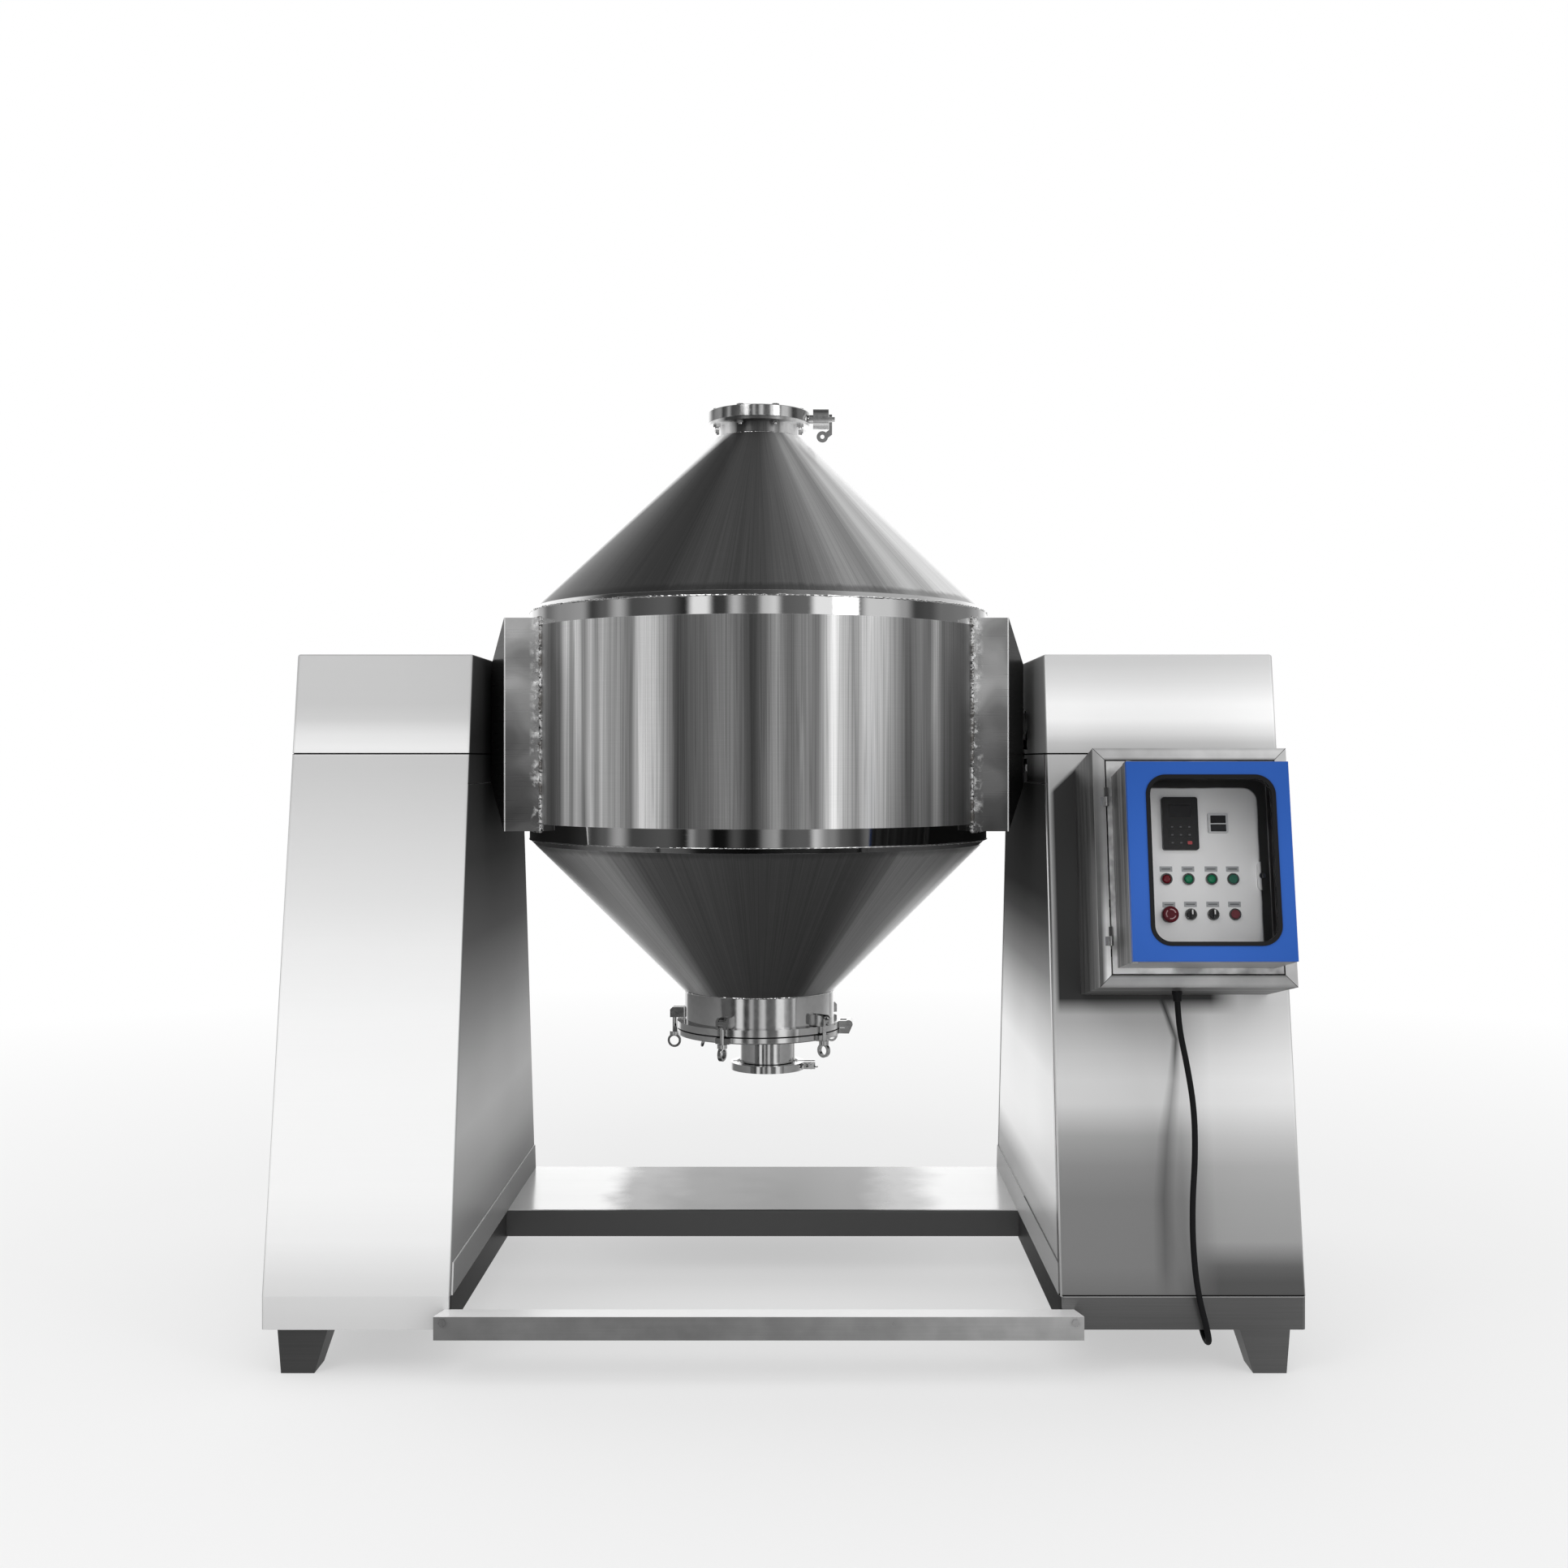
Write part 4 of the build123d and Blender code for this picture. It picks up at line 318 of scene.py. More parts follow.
def drum_steel(name, streaks, roughness, bands, anisotropy, streak_depth, edge=None, fringe=None):
    """Steel brushed round the drum's axis, with painted reflection streaks by the angle and mirror-polished
    bands between heights.

    The edge holds two distances from the outline, between which a painted highlight brightens the steel. The
    fringe holds the height, the reach and the strength of a dark seam.
    """
    made, maker, shader = material(name, Anisotropic=anisotropy, Specular_IOR_Level=0.3)
    _, x, y, z = place(maker)
    angle = cylindrical(maker, x, y)
    round_drum = maker.add("ShaderNodeCombineXYZ", {0: angle, 1: z, 2: 0.0}).outputs[0]
    fine, bump = grain(maker, round_drum, (4.0, 1400.0, 1.0), 0.05)
    upright = maker.add("ShaderNodeCombineXYZ", {0: angle, 1: maker.times(z, 0.012), 2: 0.0}).outputs[0]
    wander = maker.noise(upright, 2.0, 2.0)
    broken = maker.noise(upright, 34.0, 2.0)
    polish = 0.0
    for low, high in bands:
        inside = maker.times(maker.span(z, low - 0.0006, low + 0.0006),
                             maker.minus(1.0, maker.span(z, high - 0.0006, high + 0.0006)))
        polish = maker.math("MAXIMUM", polish, inside)
    # Painted reflection streaks lean a little along the drum
    shade = by_angle(maker, maker.math("ADD", angle, maker.linear(wander, 0.05, -0.025)), *streaks)
    shade = maker.mix(streak_depth, shade, maker.ramp(broken, STREAK_TONES, False), "MULTIPLY")
    shade = maker.mix(0.25, shade, maker.mix(fine, 0.4, 1.2), "MULTIPLY")
    if fringe:
        height, reach, strength = fringe
        ragged = maker.linear(broken, 0.020, reach - 0.010)
        from_seam = maker.size(maker.minus(z, height))
        close = maker.minus(1.0, maker.span(maker.minus(from_seam, ragged), -0.004, 0.006))
        shade = maker.mix(maker.times(close, strength), shade, 0.03)
    # Painted highlight between the edge's two distances from the outline
    if edge:
        across = maker.minus(x, DRUM_X)
        from_axis = maker.length(across, maker.minus(y, DRUM_Y))
        inside = maker.minus(from_axis, maker.size(across))
        shade = maker.mix(maker.span(inside, edge[1], edge[0]), shade, 1.0)
    # Painted reflections by the angle on the lower band; the upper band is even
    mirror = maker.mix(maker.above(z, SHAFT_Z), by_angle(maker, angle, *BAND_TONES), 0.78)
    rough = maker.linear(fine, 0.08, roughness - 0.04)
    kept = maker.minus(1.0, polish)
    maker.wire(shader,
               Base_Color=maker.mix(polish, shade, mirror),
               Metallic=maker.linear(polish, 0.5, 0.5),
               Roughness=maker.linear(kept, maker.minus(rough, 0.05), 0.05),
               Normal=bump,
               Tangent=maker.add("ShaderNodeTangent", direction_type="RADIAL", axis="Z"),
               Anisotropic_Rotation=0.25)
    return made


def plain_steel(name, shade, roughness, scale=(60.0, 60.0, 60.0), strength=0.1):
    """Steel with a fine ground texture."""
    made, maker, shader = material(name, Metallic=1.0)
    fine, bump = grain(maker, own(maker), scale, strength)
    maker.wire(shader,
               Base_Color=maker.mix(fine, shade * 0.86, min(1.0, shade * 1.08)),
               Roughness=maker.linear(fine, 0.1, roughness - 0.05),
               Normal=bump)
    return made


def paint(name, shade, roughness, coat=0.0, peel=0.04, worn=0.9, gloss=0.5):
    """Powder paint with a light orange peel and uneven tone."""
    made, maker, shader = material(name, Coat_Weight=coat, Specular_IOR_Level=gloss)
    vector = own(maker)
    _, bump = grain(maker, vector, (260.0, 260.0, 260.0), peel, detail=1.0)
    broad = maker.noise(vector, 5.0, 4.0)
    darker = tuple(part * worn for part in shade)
    maker.wire(shader,
               Base_Color=maker.mix(broad, darker, shade),
               Roughness=maker.linear(broad, 0.1, roughness - 0.05),
               Normal=bump)
    return made


def dress(made, *names):
    """Gives CAD nodes a material."""
    for name in names:
        for slot in nodes[name].material_slots:
            slot.material = made


# Sheet metal
# Painted light, shade and reflections by height, in metres: each table gives one face of the pedestals' sheet
# its painted tones
left_front = [(0.117, 0.70), (0.195, 0.75), (0.24, 0.80), (0.33, 0.94), (0.45, 1.0), (0.70, 1.0),
              (0.87, 0.97), (1.05, 0.88), (1.17, 0.78), (1.36, 0.66), (1.52, 0.56), (1.555, 0.55),
              (1.560, 0.80), (1.576, 0.79), (1.61, 0.72), (1.65, 0.57), (1.69, 0.52), (1.824, 0.50)]
right_cap_front = [(1.55, 0.50), (1.587, 0.61), (1.61, 0.79), (1.65, 1.0), (1.69, 1.0), (1.75, 0.79),
                   (1.80, 0.67), (1.824, 0.65)]
right_front = [(0.117, 0.12), (0.20, 0.18), (0.27, 0.22), (0.43, 0.23), (0.51, 0.28), (0.585, 0.39),
               (0.664, 0.70), (0.724, 0.73), (0.784, 0.66), (0.865, 0.50), (1.05, 0.40), (1.40, 0.40),
               (1.555, 0.52)]
far_front = [(0.117, 0.10), (0.234, 0.10), (0.272, 0.14), (0.33, 0.36), (0.43, 0.40), (0.51, 0.46),
             (0.585, 0.63), (0.664, 0.88), (0.724, 0.94), (0.784, 0.90), (0.916, 0.67), (1.20, 0.5),
             (1.555, 0.60)]
rear_face = [(0.117, 0.60), (0.24, 0.62), (0.45, 0.80), (0.70, 0.85), (1.05, 0.70), (1.36, 0.55),
             (1.56, 0.50), (1.824, 0.50)]
left_inner = [(0.117, 0.20), (0.32, 0.28), (0.434, 0.41), (0.574, 0.49), (0.714, 0.42), (0.87, 0.27),
              (1.065, 0.12), (1.275, 0.06), (1.60, 0.03), (1.824, 0.06)]
right_inner = [(0.117, 0.45), (0.334, 0.56), (0.428, 0.98), (0.52, 1.0), (0.71, 0.94), (0.85, 0.64),
               (0.97, 0.29), (1.10, 0.09), (1.18, 0.04), (1.345, 0.035), (1.49, 0.025), (1.56, 0.25),
               (1.824, 0.25)]
outer_wall = [(0.117, 0.38), (0.50, 0.62), (0.95, 0.42), (1.30, 0.60), (1.555, 0.48), (1.60, 0.62),
              (1.824, 0.50)]


def round_cabinet(maker, shade, x, z):
    """The right pedestal's front, in painted light and shade: a lighter far side, the cable's double as a
    painted reflection, the cabinet's shadow, a shaded low gap.
    """
    # Painted light: the far side lighter
    shade = maker.mix(maker.span(x, 1.01, 1.09), shade, by_height(maker, z, far_front))
    # Painted reflection of the cable: a dark double beside it, its course, width and depth by height
    course = by_height(maker, z, [(0.27, 0.057), (0.43, 0.059), (0.585, 0.074), (0.724, 0.096),
                                  (0.825, 0.106), (0.92, 0.074)])
    aside = maker.size(maker.minus(maker.minus(x, 0.9), course))
    width = by_height(maker, z, [(0.20, 0.030), (0.60, 0.026), (0.78, 0.014), (0.92, 0.010)])
    near = maker.math("SUBTRACT", 1.0, maker.math("DIVIDE", aside, width), clamp=True)
    depth = by_height(maker, z, [(0.20, 0.05), (0.27, 0.35), (0.58, 0.50), (0.72, 0.45), (0.80, 0.8),
                                 (0.92, 0.9)])
    shade = maker.mix(maker.times(near, depth), shade, 0.02)
    # Painted shade of the cabinet: its shadow under it and the dark reflection of its side beside it
    under = maker.times(maker.span(z, 0.885, 0.925), maker.minus(1.0, maker.span(x, 1.10, 1.17)))
    top = maker.minus(maker.linear(x, 0.94, 0.80), z)
    beside = maker.times(maker.span(top, -0.004, 0.010), maker.span(x, 0.699, 0.711))
    beside = maker.times(beside, maker.minus(1.0, maker.span(x, 1.25, 1.27)))
    shade = maker.mix(maker.times(under, beside), shade, 0.045)
    # Painted shade in the gap over the base
    return maker.mix(maker.span(z, BEAM_TOP + 0.0042, BEAM_TOP + 0.0034), shade, 0.01)


dress(sheet_steel("left_sheet", 1.0, left_front, left_inner, outer_wall), "left_housing", "left_cap")
dress(sheet_steel("right_cap_sheet", -1.0, right_cap_front, right_inner, outer_wall), "right_cap")
dress(sheet_steel("right_sheet", -1.0, right_front, right_inner, outer_wall, round_cabinet), "right_housing")

# Drum
upper_band = (UPPER_SEAM - BAND_ON_CYLINDER, UPPER_SEAM + BAND_ON_CONE)
lower_band = (LOWER_SEAM - BAND_ON_CONE, LOWER_SEAM + BAND_ON_CYLINDER)
# Painted reflections: tones by the angle round the drum, in degrees, for each half
cylinder_reflections = (
    [(-180, 0.35), (-172, 0.6), (-160, 0.2), (-150, 0.5), (-141, 0.9), (-134, 0.3), (-120, 0.15), (-110, 0.5),
     (-100, 0.3), (-86, 0.55), (-76, 0.3), (-68, 0.45), (-61, 0.35), (-57, 0.15), (-53, 0.25), (-50, 0.95),
     (-48, 0.4), (-46, 0.9), (-43, 0.35), (-41, 0.8), (-39, 0.5), (-37, 0.75), (-34, 0.45), (-29, 0.3),
     (-26, 1.0), (-23, 0.95), (-20, 0.45), (-17, 0.08), (-11, 0.11), (-6, 0.3), (-3, 0.2), (0, 0.08)],
    [(0, 0.08), (2, 0.15), (5, 0.36), (8, 0.22), (11, 0.38), (14, 0.2), (16, 0.5), (18, 0.9), (20, 0.5),
     (23, 0.35), (26, 0.8), (30, 0.68), (34, 0.4), (38, 0.2), (42, 0.36), (45, 0.25), (47, 0.65), (50, 0.25),
     (58, 0.15), (65, 0.25), (75, 0.35), (84, 0.6), (92, 0.3), (100, 0.2), (108, 0.5), (116, 0.9),
     (124, 0.35), (136, 0.15), (148, 0.3), (158, 0.7), (168, 0.4), (180, 0.35)],
)
upper_cone_reflections = (
    [(-180, 0.3), (-165, 0.5), (-150, 0.12), (-125, 0.2), (-112, 0.5), (-97, 0.12), (-80, 0.04), (-60, 0.05),
     (-44, 0.08), (-25, 0.07), (-12, 0.10), (0, 0.10)],
    [(0, 0.10), (10, 0.15), (18, 0.24), (24, 0.38), (31, 0.28), (37, 0.5), (41, 0.7), (47, 0.6), (54, 0.95),
     (62, 0.85), (80, 1.0), (100, 0.5), (125, 0.12), (150, 0.3), (180, 0.3)],
)
lower_cone_reflections = (
    [(-180, 0.15), (-160, 0.4), (-130, 0.10), (-110, 0.3), (-85, 0.2), (-68, 0.45), (-61, 0.36), (-56, 0.38),
     (-48, 0.45), (-40, 0.42), (-35, 0.25), (-29, 0.12), (-20, 0.10), (0, 0.08)],
    [(0, 0.08), (28, 0.07), (34, 0.12), (39, 0.24), (50, 0.26), (56, 0.28), (64, 0.6), (75, 0.7), (95, 0.4),
     (120, 0.10), (145, 0.35), (180, 0.15)],
)
dress(drum_steel("drum_brushed", cylinder_reflections, 0.30, [upper_band, lower_band], 1.0, 0.5), "drum_cylinder")
dress(drum_steel("upper_cone_brushed", upper_cone_reflections, 0.33, [upper_band], 0.9, 0.35,
                 edge=(0.030, 0.056), fringe=(UPPER_SEAM, 0.030, 0.5)), "upper_cone")
dress(drum_steel("lower_cone_brushed", lower_cone_reflections, 0.33, [lower_band], 0.9, 0.35,
                 edge=(0.004, 0.02), fringe=(LOWER_SEAM, 0.026, 0.4)), "lower_cone")


def trunnion_steel():
    """Ground plate with painted shade, darker towards the bottom, and a painted highlight along its outer
    edge; mottled beside the weld; the taper behind it is dark.
    """
    made, maker, shader = material("trunnion_steel")
    vector, x, _, z = place(maker)
    fine, _ = grain(maker, vector, (3.0, 3.0, 420.0), 0.03)
    across = maker.size(maker.minus(x, DRUM_X))
    near_weld = maker.minus(1.0, maker.span(across, 0.604, 0.622))
    blotch = maker.noise(vector, 34.0, 5.0, Roughness=0.65)
    # Painted shade by height, darker towards the bottom
    shade = by_height(maker, z, [(SHAFT_Z - TRUNNION_HALF, 0.12), (SHAFT_Z - 0.12, 0.17),
                                 (SHAFT_Z + 0.06, 0.38), (SHAFT_Z + 0.16, 0.50),
                                 (SHAFT_Z + TRUNNION_HALF, 0.42)])
    broad = maker.noise(vector, 7.0, 1.0)
    shade = maker.mix(1.0, shade, maker.ramp(broad, [(0.38, 0.6), (0.50, 0.85), (0.62, 1.35)]), "MULTIPLY")
    # Painted highlight along the outer edge
    rim = maker.span(across, 0.6862, 0.6870)
    shade = maker.mix(rim, shade, 0.95)
    bright = maker.times(near_weld, maker.span(blotch, 0.50, 0.62))
    shade = maker.mix(bright, shade, 0.95)
    dark = maker.times(maker.span(maker.size(facing(maker, 0)), 0.5, 0.8), maker.above(across, 0.66))
    lumps = {"Strength": maker.times(near_weld, 0.9), "Distance": 0.006, "Height": blotch}
    maker.wire(shader,
               Base_Color=maker.mix(dark, shade, 0.02),
               Metallic=maker.linear(dark, -0.3, 0.6),
               Roughness=maker.linear(fine, 0.1, 0.24),
               Normal=maker.add("ShaderNodeBump", lumps))
    return made


dress(trunnion_steel(), "left_trunnion", "right_trunnion")
dress(plain_steel("polished_steel", 0.70, 0.12), "manhole_neck", "manhole_door", "port_cap", "port_clamp",
      "valve_body", "valve_bolts", "valve_disc", "valve_lever", "wing_nut", "left_shaft", "right_shaft",
      "frame_bolts", "cabinet_hinges", *["swing_bolt_%d" % number for number in range(1, 6)])

# Stand
dress(plain_steel("frame_steel", 0.25, 0.35, (3.0, 3.0, 300.0), 0.08), "left_frame", "feet")


def base_steel():
    """The frame's steel with a painted highlight on the bend along the top of the base."""
    made, maker, shader = material("base_steel")
    vector, _, _, z = place(maker)
    fine, bump = grain(maker, vector, (3.0, 3.0, 300.0), 0.08)
    upright = maker.below(maker.size(facing(maker, 2)), 0.5)
    # Painted highlight on the upright faces just under the top of the base
    bend = maker.times(maker.span(z, BEAM_TOP - 0.0024, BEAM_TOP - 0.0018), maker.below(z, BEAM_TOP + 0.001))
    bend = maker.times(upright, bend)
    maker.wire(shader,
               Base_Color=maker.mix(bend, maker.mix(fine, 0.215, 0.27), 0.50),
               Metallic=maker.linear(bend, -0.6, 1.0),
               Roughness=maker.linear(fine, 0.1, 0.30),
               Normal=bump)
    return made


dress(base_steel(), "right_frame")


def rail_steel():
    """Brushed channel, painted lighter to the right, with a painted highlight along its top lip."""
    made, maker, shader = material("rail_steel", Specular_IOR_Level=0.2)
    vector, x, _, _ = place(maker)
    fine, bump = grain(maker, vector, (3.0, 300.0, 300.0), 0.08)
    smear = maker.noise(vector, 14.0, 4.0)
    # Painted light: brighter to the right
    shade = maker.ramp(maker.span(x, -0.99, 0.81), [(0.0, 0.25), (0.45, 0.28), (0.60, 0.35), (0.80, 0.48),
                                                    (1.0, 0.52)])
    shade = maker.mix(0.5, shade, maker.mix(smear, 0.4, 1.5), "MULTIPLY")
    shade = maker.mix(maker.times(fine, 0.2), shade, 0.1)
    # Painted highlight along the top lip
    lip = maker.span(facing(maker, 2), 0.4, 0.8)
    maker.wire(shader,
               Base_Color=maker.mix(lip, shade, 0.95),
               Metallic=maker.linear(lip, -0.3, 0.5),
               Roughness=maker.linear(smear, 0.12, 0.24),
               Normal=bump)
    return made


def tray_steel():
    """Bright sheet with a painted reflection that is darker towards its middle, with faint smears; painted
    shade on its front lip.
    """
    made, maker, shader = material("tray_steel", Specular_IOR_Level=0.2)
    vector, x, _, _ = place(maker)
    fine, bump = grain(maker, vector, (2.0, 500.0, 2.0), 0.03)
    broad = maker.noise(vector, 7.0, 5.0)
    # Painted reflection: bright towards the ends, dark in the middle
    shifted = maker.linear(broad, 0.16, maker.minus(x, 0.08))
    shade = maker.ramp(maker.span(shifted, -0.83, 0.69), [
        (0.0, 1.0), (0.16, 0.95), (0.24, 0.28), (0.36, 0.11), (0.55, 0.07), (0.68, 0.13), (0.78, 0.45),
        (0.88, 0.95), (1.0, 0.95)])
    shade = maker.mix(maker.times(fine, 0.15), shade, 0.3)
    # Painted shade on the front lip
    lip = maker.span(facing(maker, 1), -0.4, -0.8)
    maker.wire(shader,
               Base_Color=maker.mix(lip, shade, 0.085),
               Metallic=maker.linear(lip, -0.4, 0.55),
               Roughness=maker.linear(broad, 0.16, 0.10),
               Normal=bump)
    return made


dress(rail_steel(), "front_rail")
dress(tray_steel(), "rear_tray")
dress(paint("machine_paint", (0.10, 0.16, 0.22), 0.4), "gearbox", "motor", "left_bearing", "right_bearing")


# Cabinet
def on_cabinet(maker, x, y, z):
    """Places on the cabinet: across, up the slope and out of the pedestal, from the centre of its back."""
    back = maker.minus(y, DRUM_Y - BASE_HALF_DEPTH)
    height = maker.minus(z, BEAM_TOP)
    rise = maker.linear(back, sin(TILT), maker.times(height, cos(TILT)))
    out = maker.linear(back, -cos(TILT), maker.times(height, sin(TILT)))
    return maker.minus(x, CABINET_X), maker.minus(rise, CABINET_RISE), out


def off_hood(maker, across, rise):
    """Distances to the hood's middle, across and up the slope."""
    return maker.size(maker.minus(across, HOOD_PLACE[0])), maker.size(maker.minus(rise, HOOD_PLACE[1]))


def cabinet_steel():
    """Brushed box: a mitred bezel with painted light and shade on each strip, painted shade on the left side
    and underside.
    """
    made, maker, shader = material("cabinet_steel", Specular_IOR_Level=0.2)
    vector, x, y, z = place(maker)
    across, rise, out = on_cabinet(maker, x, y, z)
    _, bump = grain(maker, vector, (4.0, 900.0, 900.0), 0.03)
    smear = maker.noise(vector, 17.0, 4.0)
    from_side = maker.minus(CABINET_WIDTH / 2, maker.size(across))
    from_end = maker.minus(CABINET_HEIGHT / 2, maker.size(rise))
    mitre = maker.minus(from_side, from_end)
    # Painted light and shade on the bezel's strips: up the side strips, across the end strips and their
    # bevels, the lower strip darker
    along = maker.span(rise, -CABINET_HEIGHT / 2, CABINET_HEIGHT / 2)
    outer_half = maker.ramp(along, [(0.0, 0.10), (0.5, 0.11), (0.8, 0.18), (1.0, 0.42)])
    inner_half = maker.ramp(along, [(0.0, 0.85), (0.2, 0.55), (0.5, 0.24), (0.8, 0.26), (1.0, 0.50)])
    left_strip = maker.mix(maker.span(from_side, 0.008, 0.020), outer_half, inner_half)
    side_strip = maker.mix(maker.above(across, 0.0), left_strip, 0.62)
    lengthwise = maker.ramp(maker.span(across, -CABINET_WIDTH / 2, CABINET_WIDTH / 2),
                            [(0.0, 0.56), (0.3, 0.62), (0.6, 0.80), (1.0, 0.70)])
    lengthwise = maker.mix(maker.below(rise, 0.0), lengthwise, maker.mix(1.0, lengthwise, 0.6, "MULTIPLY"))
    bevel = maker.ramp(maker.span(from_end, 0.0, BEZEL), [(0.0, 0.75), (0.3, 1.0), (0.75, 0.95), (1.0, 0.5)])
    end_strip = maker.mix(1.0, lengthwise, bevel, "MULTIPLY")
    shade = maker.mix(maker.below(mitre, 0.0), end_strip, side_strip)
    head_on = maker.span(out, CABINET_DEPTH - 0.002, CABINET_DEPTH - 0.001)
    shade = maker.mix(maker.linear(head_on, 0.42, 0.08), shade, maker.mix(smear, 0.5, 1.4), "MULTIPLY")
    line = maker.minus(1.0, maker.span(maker.size(mitre), 0.0006, 0.0012))
    shade = maker.mix(maker.times(line, head_on), shade, 0.02)
    inside = maker.above(maker.math("MINIMUM", from_side, from_end), BEZEL + 0.001)
    shade = maker.mix(inside, shade, maker.mix(smear, 0.34, 0.46))
    # Painted shade on the left side and underside, streaked, with a painted highlight on the bend's edge
    beside = maker.span(facing(maker, 0), -0.5, -0.8)
    stretched = maker.add("ShaderNodeCombineXYZ", {0: out, 1: maker.times(rise, 0.05)})
    streaks = maker.noise(stretched, 38.0, 3.0)
    side_shade = maker.mix(maker.span(streaks, 0.40, 0.66), 0.055, 0.15)
    side_shade = maker.mix(maker.span(out, CABINET_DEPTH - 0.010, CABINET_DEPTH - 0.004), side_shade, 0.30)
    shade = maker.mix(beside, shade, side_shade)
    below = maker.span(facing(maker, 2), -0.5, -0.8)
    shade = maker.mix(below, shade, maker.mix(maker.span(streaks, 0.45, 0.60), 0.02, 0.12))
    maker.wire(shader,
               Base_Color=shade,
               Metallic=maker.linear(below, -0.4, 0.4),
               Roughness=maker.linear(smear, 0.10, 0.28),
               Normal=bump)
    return made


def hood_steel():
    """Brushed hood with painted reflection streaks on its left side, painted lighter on its right side, and
    painted shade inside.
    """
    made, maker, shader = material("hood_steel", Metallic=0.5, Specular_IOR_Level=0.2)
    vector, x, y, z = place(maker)
    across, rise, out = on_cabinet(maker, x, y, z)
    fine, bump = grain(maker, vector, (4.0, 900.0, 4.0), 0.03)
    # Painted reflections: upright streaks on the left side; the right side painted lighter
    stretched = maker.add("ShaderNodeCombineXYZ", {0: out, 1: maker.times(rise, 0.012), 2: across})
    streaks = maker.noise(stretched, 45.0, 2.0)
    side_shade = maker.ramp(streaks, [(0.35, 0.06), (0.50, 0.10), (0.58, 0.26), (0.62, 0.13), (0.75, 0.07)])
    shade = maker.mix(maker.span(facing(maker, 0), -0.5, -0.8), maker.mix(fine, 0.26, 0.34), side_shade)
    shade = maker.mix(maker.span(facing(maker, 0), 0.5, 0.8), shade, maker.mix(fine, 0.46, 0.58))
    aside, apart = off_hood(maker, across, rise)
    # Painted shade inside the hood
    shaded_inside = maker.times(maker.below(aside, HOOD_WIDTH / 2 - 0.0005),
                         maker.below(apart, HOOD_HEIGHT / 2 - 0.0005))
    maker.wire(shader,
               Base_Color=maker.mix(shaded_inside, shade, 0.02),
               Roughness=maker.linear(fine, 0.10, 0.26),
               Normal=bump)
    return made


def door_panel():
    """Pale panel inside the hood with the hood's painted shade, steel round it and painted shade in the gap
    along the door's edge.
    """
    made, maker, shader = material("door_panel", Specular_IOR_Level=0.2)
    vector, x, y, z = place(maker)
    across, rise, _ = on_cabinet(maker, x, y, z)
    fine, bump = grain(maker, vector, (260.0, 260.0, 260.0), 0.03)
    broad = maker.noise(vector, 12.0, 3.0)
    aside, apart = off_hood(maker, across, rise)
    outside = maker.math("MAXIMUM", maker.minus(aside, HOOD_WIDTH / 2), maker.minus(apart, HOOD_HEIGHT / 2))
    steel = maker.span(outside, -0.004, -0.003)
    margin = maker.mix(maker.span(broad, 0.40, 0.60), 0.26, 0.62)
    from_edge = maker.math("MINIMUM", maker.minus(DOOR_WIDTH / 2, maker.size(across)),
                           maker.minus(DOOR_HEIGHT / 2, maker.size(rise)))
    # Painted shade in the gap along the door's edge
    margin = maker.mix(maker.minus(1.0, maker.span(from_edge, 0.0028, 0.0042)), margin, 0.05)
    # The hood's shade along the panel's top and right edge, round in the corner
    right = maker.math("MAXIMUM", maker.minus(across, SHADE_CORNER[0]), 0.0)
    up = maker.math("MAXIMUM", maker.minus(rise, SHADE_CORNER[1]), 0.0)
    shaded = maker.span(maker.linear(broad, 0.006, maker.length(right, up)), 0.032, 0.036)
    panel = maker.mix(shaded, maker.mix(broad, 0.80, 0.92), 0.035)
    maker.wire(shader,
               Base_Color=maker.mix(steel, panel, margin),
               Metallic=maker.times(steel, 0.4),
               Roughness=maker.linear(fine, 0.1, 0.38),
               Normal=bump)
    return made


def pane_glass():
    """Clear pane that turns whiter at a flat angle."""
    made, maker, shader = material("pane_glass", Roughness=0.03, IOR=1.45, Base_Color=0.02)
    fresnel = maker.add("ShaderNodeFresnel", {"IOR": 1.45}).outputs[0]
    maker.wire(shader, Alpha=maker.linear(fresnel, 0.4, 0.03))
    return made


dress(cabinet_steel(), "cabinet_box", "cabinet_backplate")
dress(hood_steel(), "hood")
dress(door_panel(), "inner_door")
dress(pane_glass(), "window_glass")
dress(paint("blue_paint", (0.020, 0.090, 0.375), 0.42, gloss=0.12), "window_door")
rubber = paint("black_rubber", (0.010, 0.010, 0.011), 0.55, worn=0.7, gloss=0.12)
dress(rubber, "window_gasket", "manhole_gasket", "cable_gland")
cable_curve.materials.append(rubber)
dress(paint("black_plastic", (0.014, 0.014, 0.015), 0.38, worn=0.8, gloss=0.25), "keypad", "inverter",
      "switchgear", "selector_left", "selector_right")
dress(paint("timer_plastic", (0.62, 0.63, 0.64), 0.35), "timer")
dress(paint("plate_plastic", (0.36, 0.37, 0.38), 0.4), "legend_plates")
dress(paint("red_lens", (0.16, 0.006, 0.014), 0.22, coat=0.3, gloss=0.3), "red_lamp")
dress(paint("red_plastic", (0.12, 0.010, 0.018), 0.35, gloss=0.10), "emergency_stop")
dress(paint("stop_plastic", (0.17, 0.035, 0.045), 0.35, gloss=0.15), "stop_button")
dress(paint("green_lens", (0.008, 0.19, 0.085), 0.22, coat=0.3, gloss=0.3), "green_lamps")
dress(paint("green_plastic", (0.012, 0.12, 0.075), 0.35, gloss=0.3), "start_button")
dress(plain_steel("bezel_steel", 0.16, 0.22), "control_bezels")
dress(plain_steel("latch_steel", 0.60, 0.16), "panel_latch")


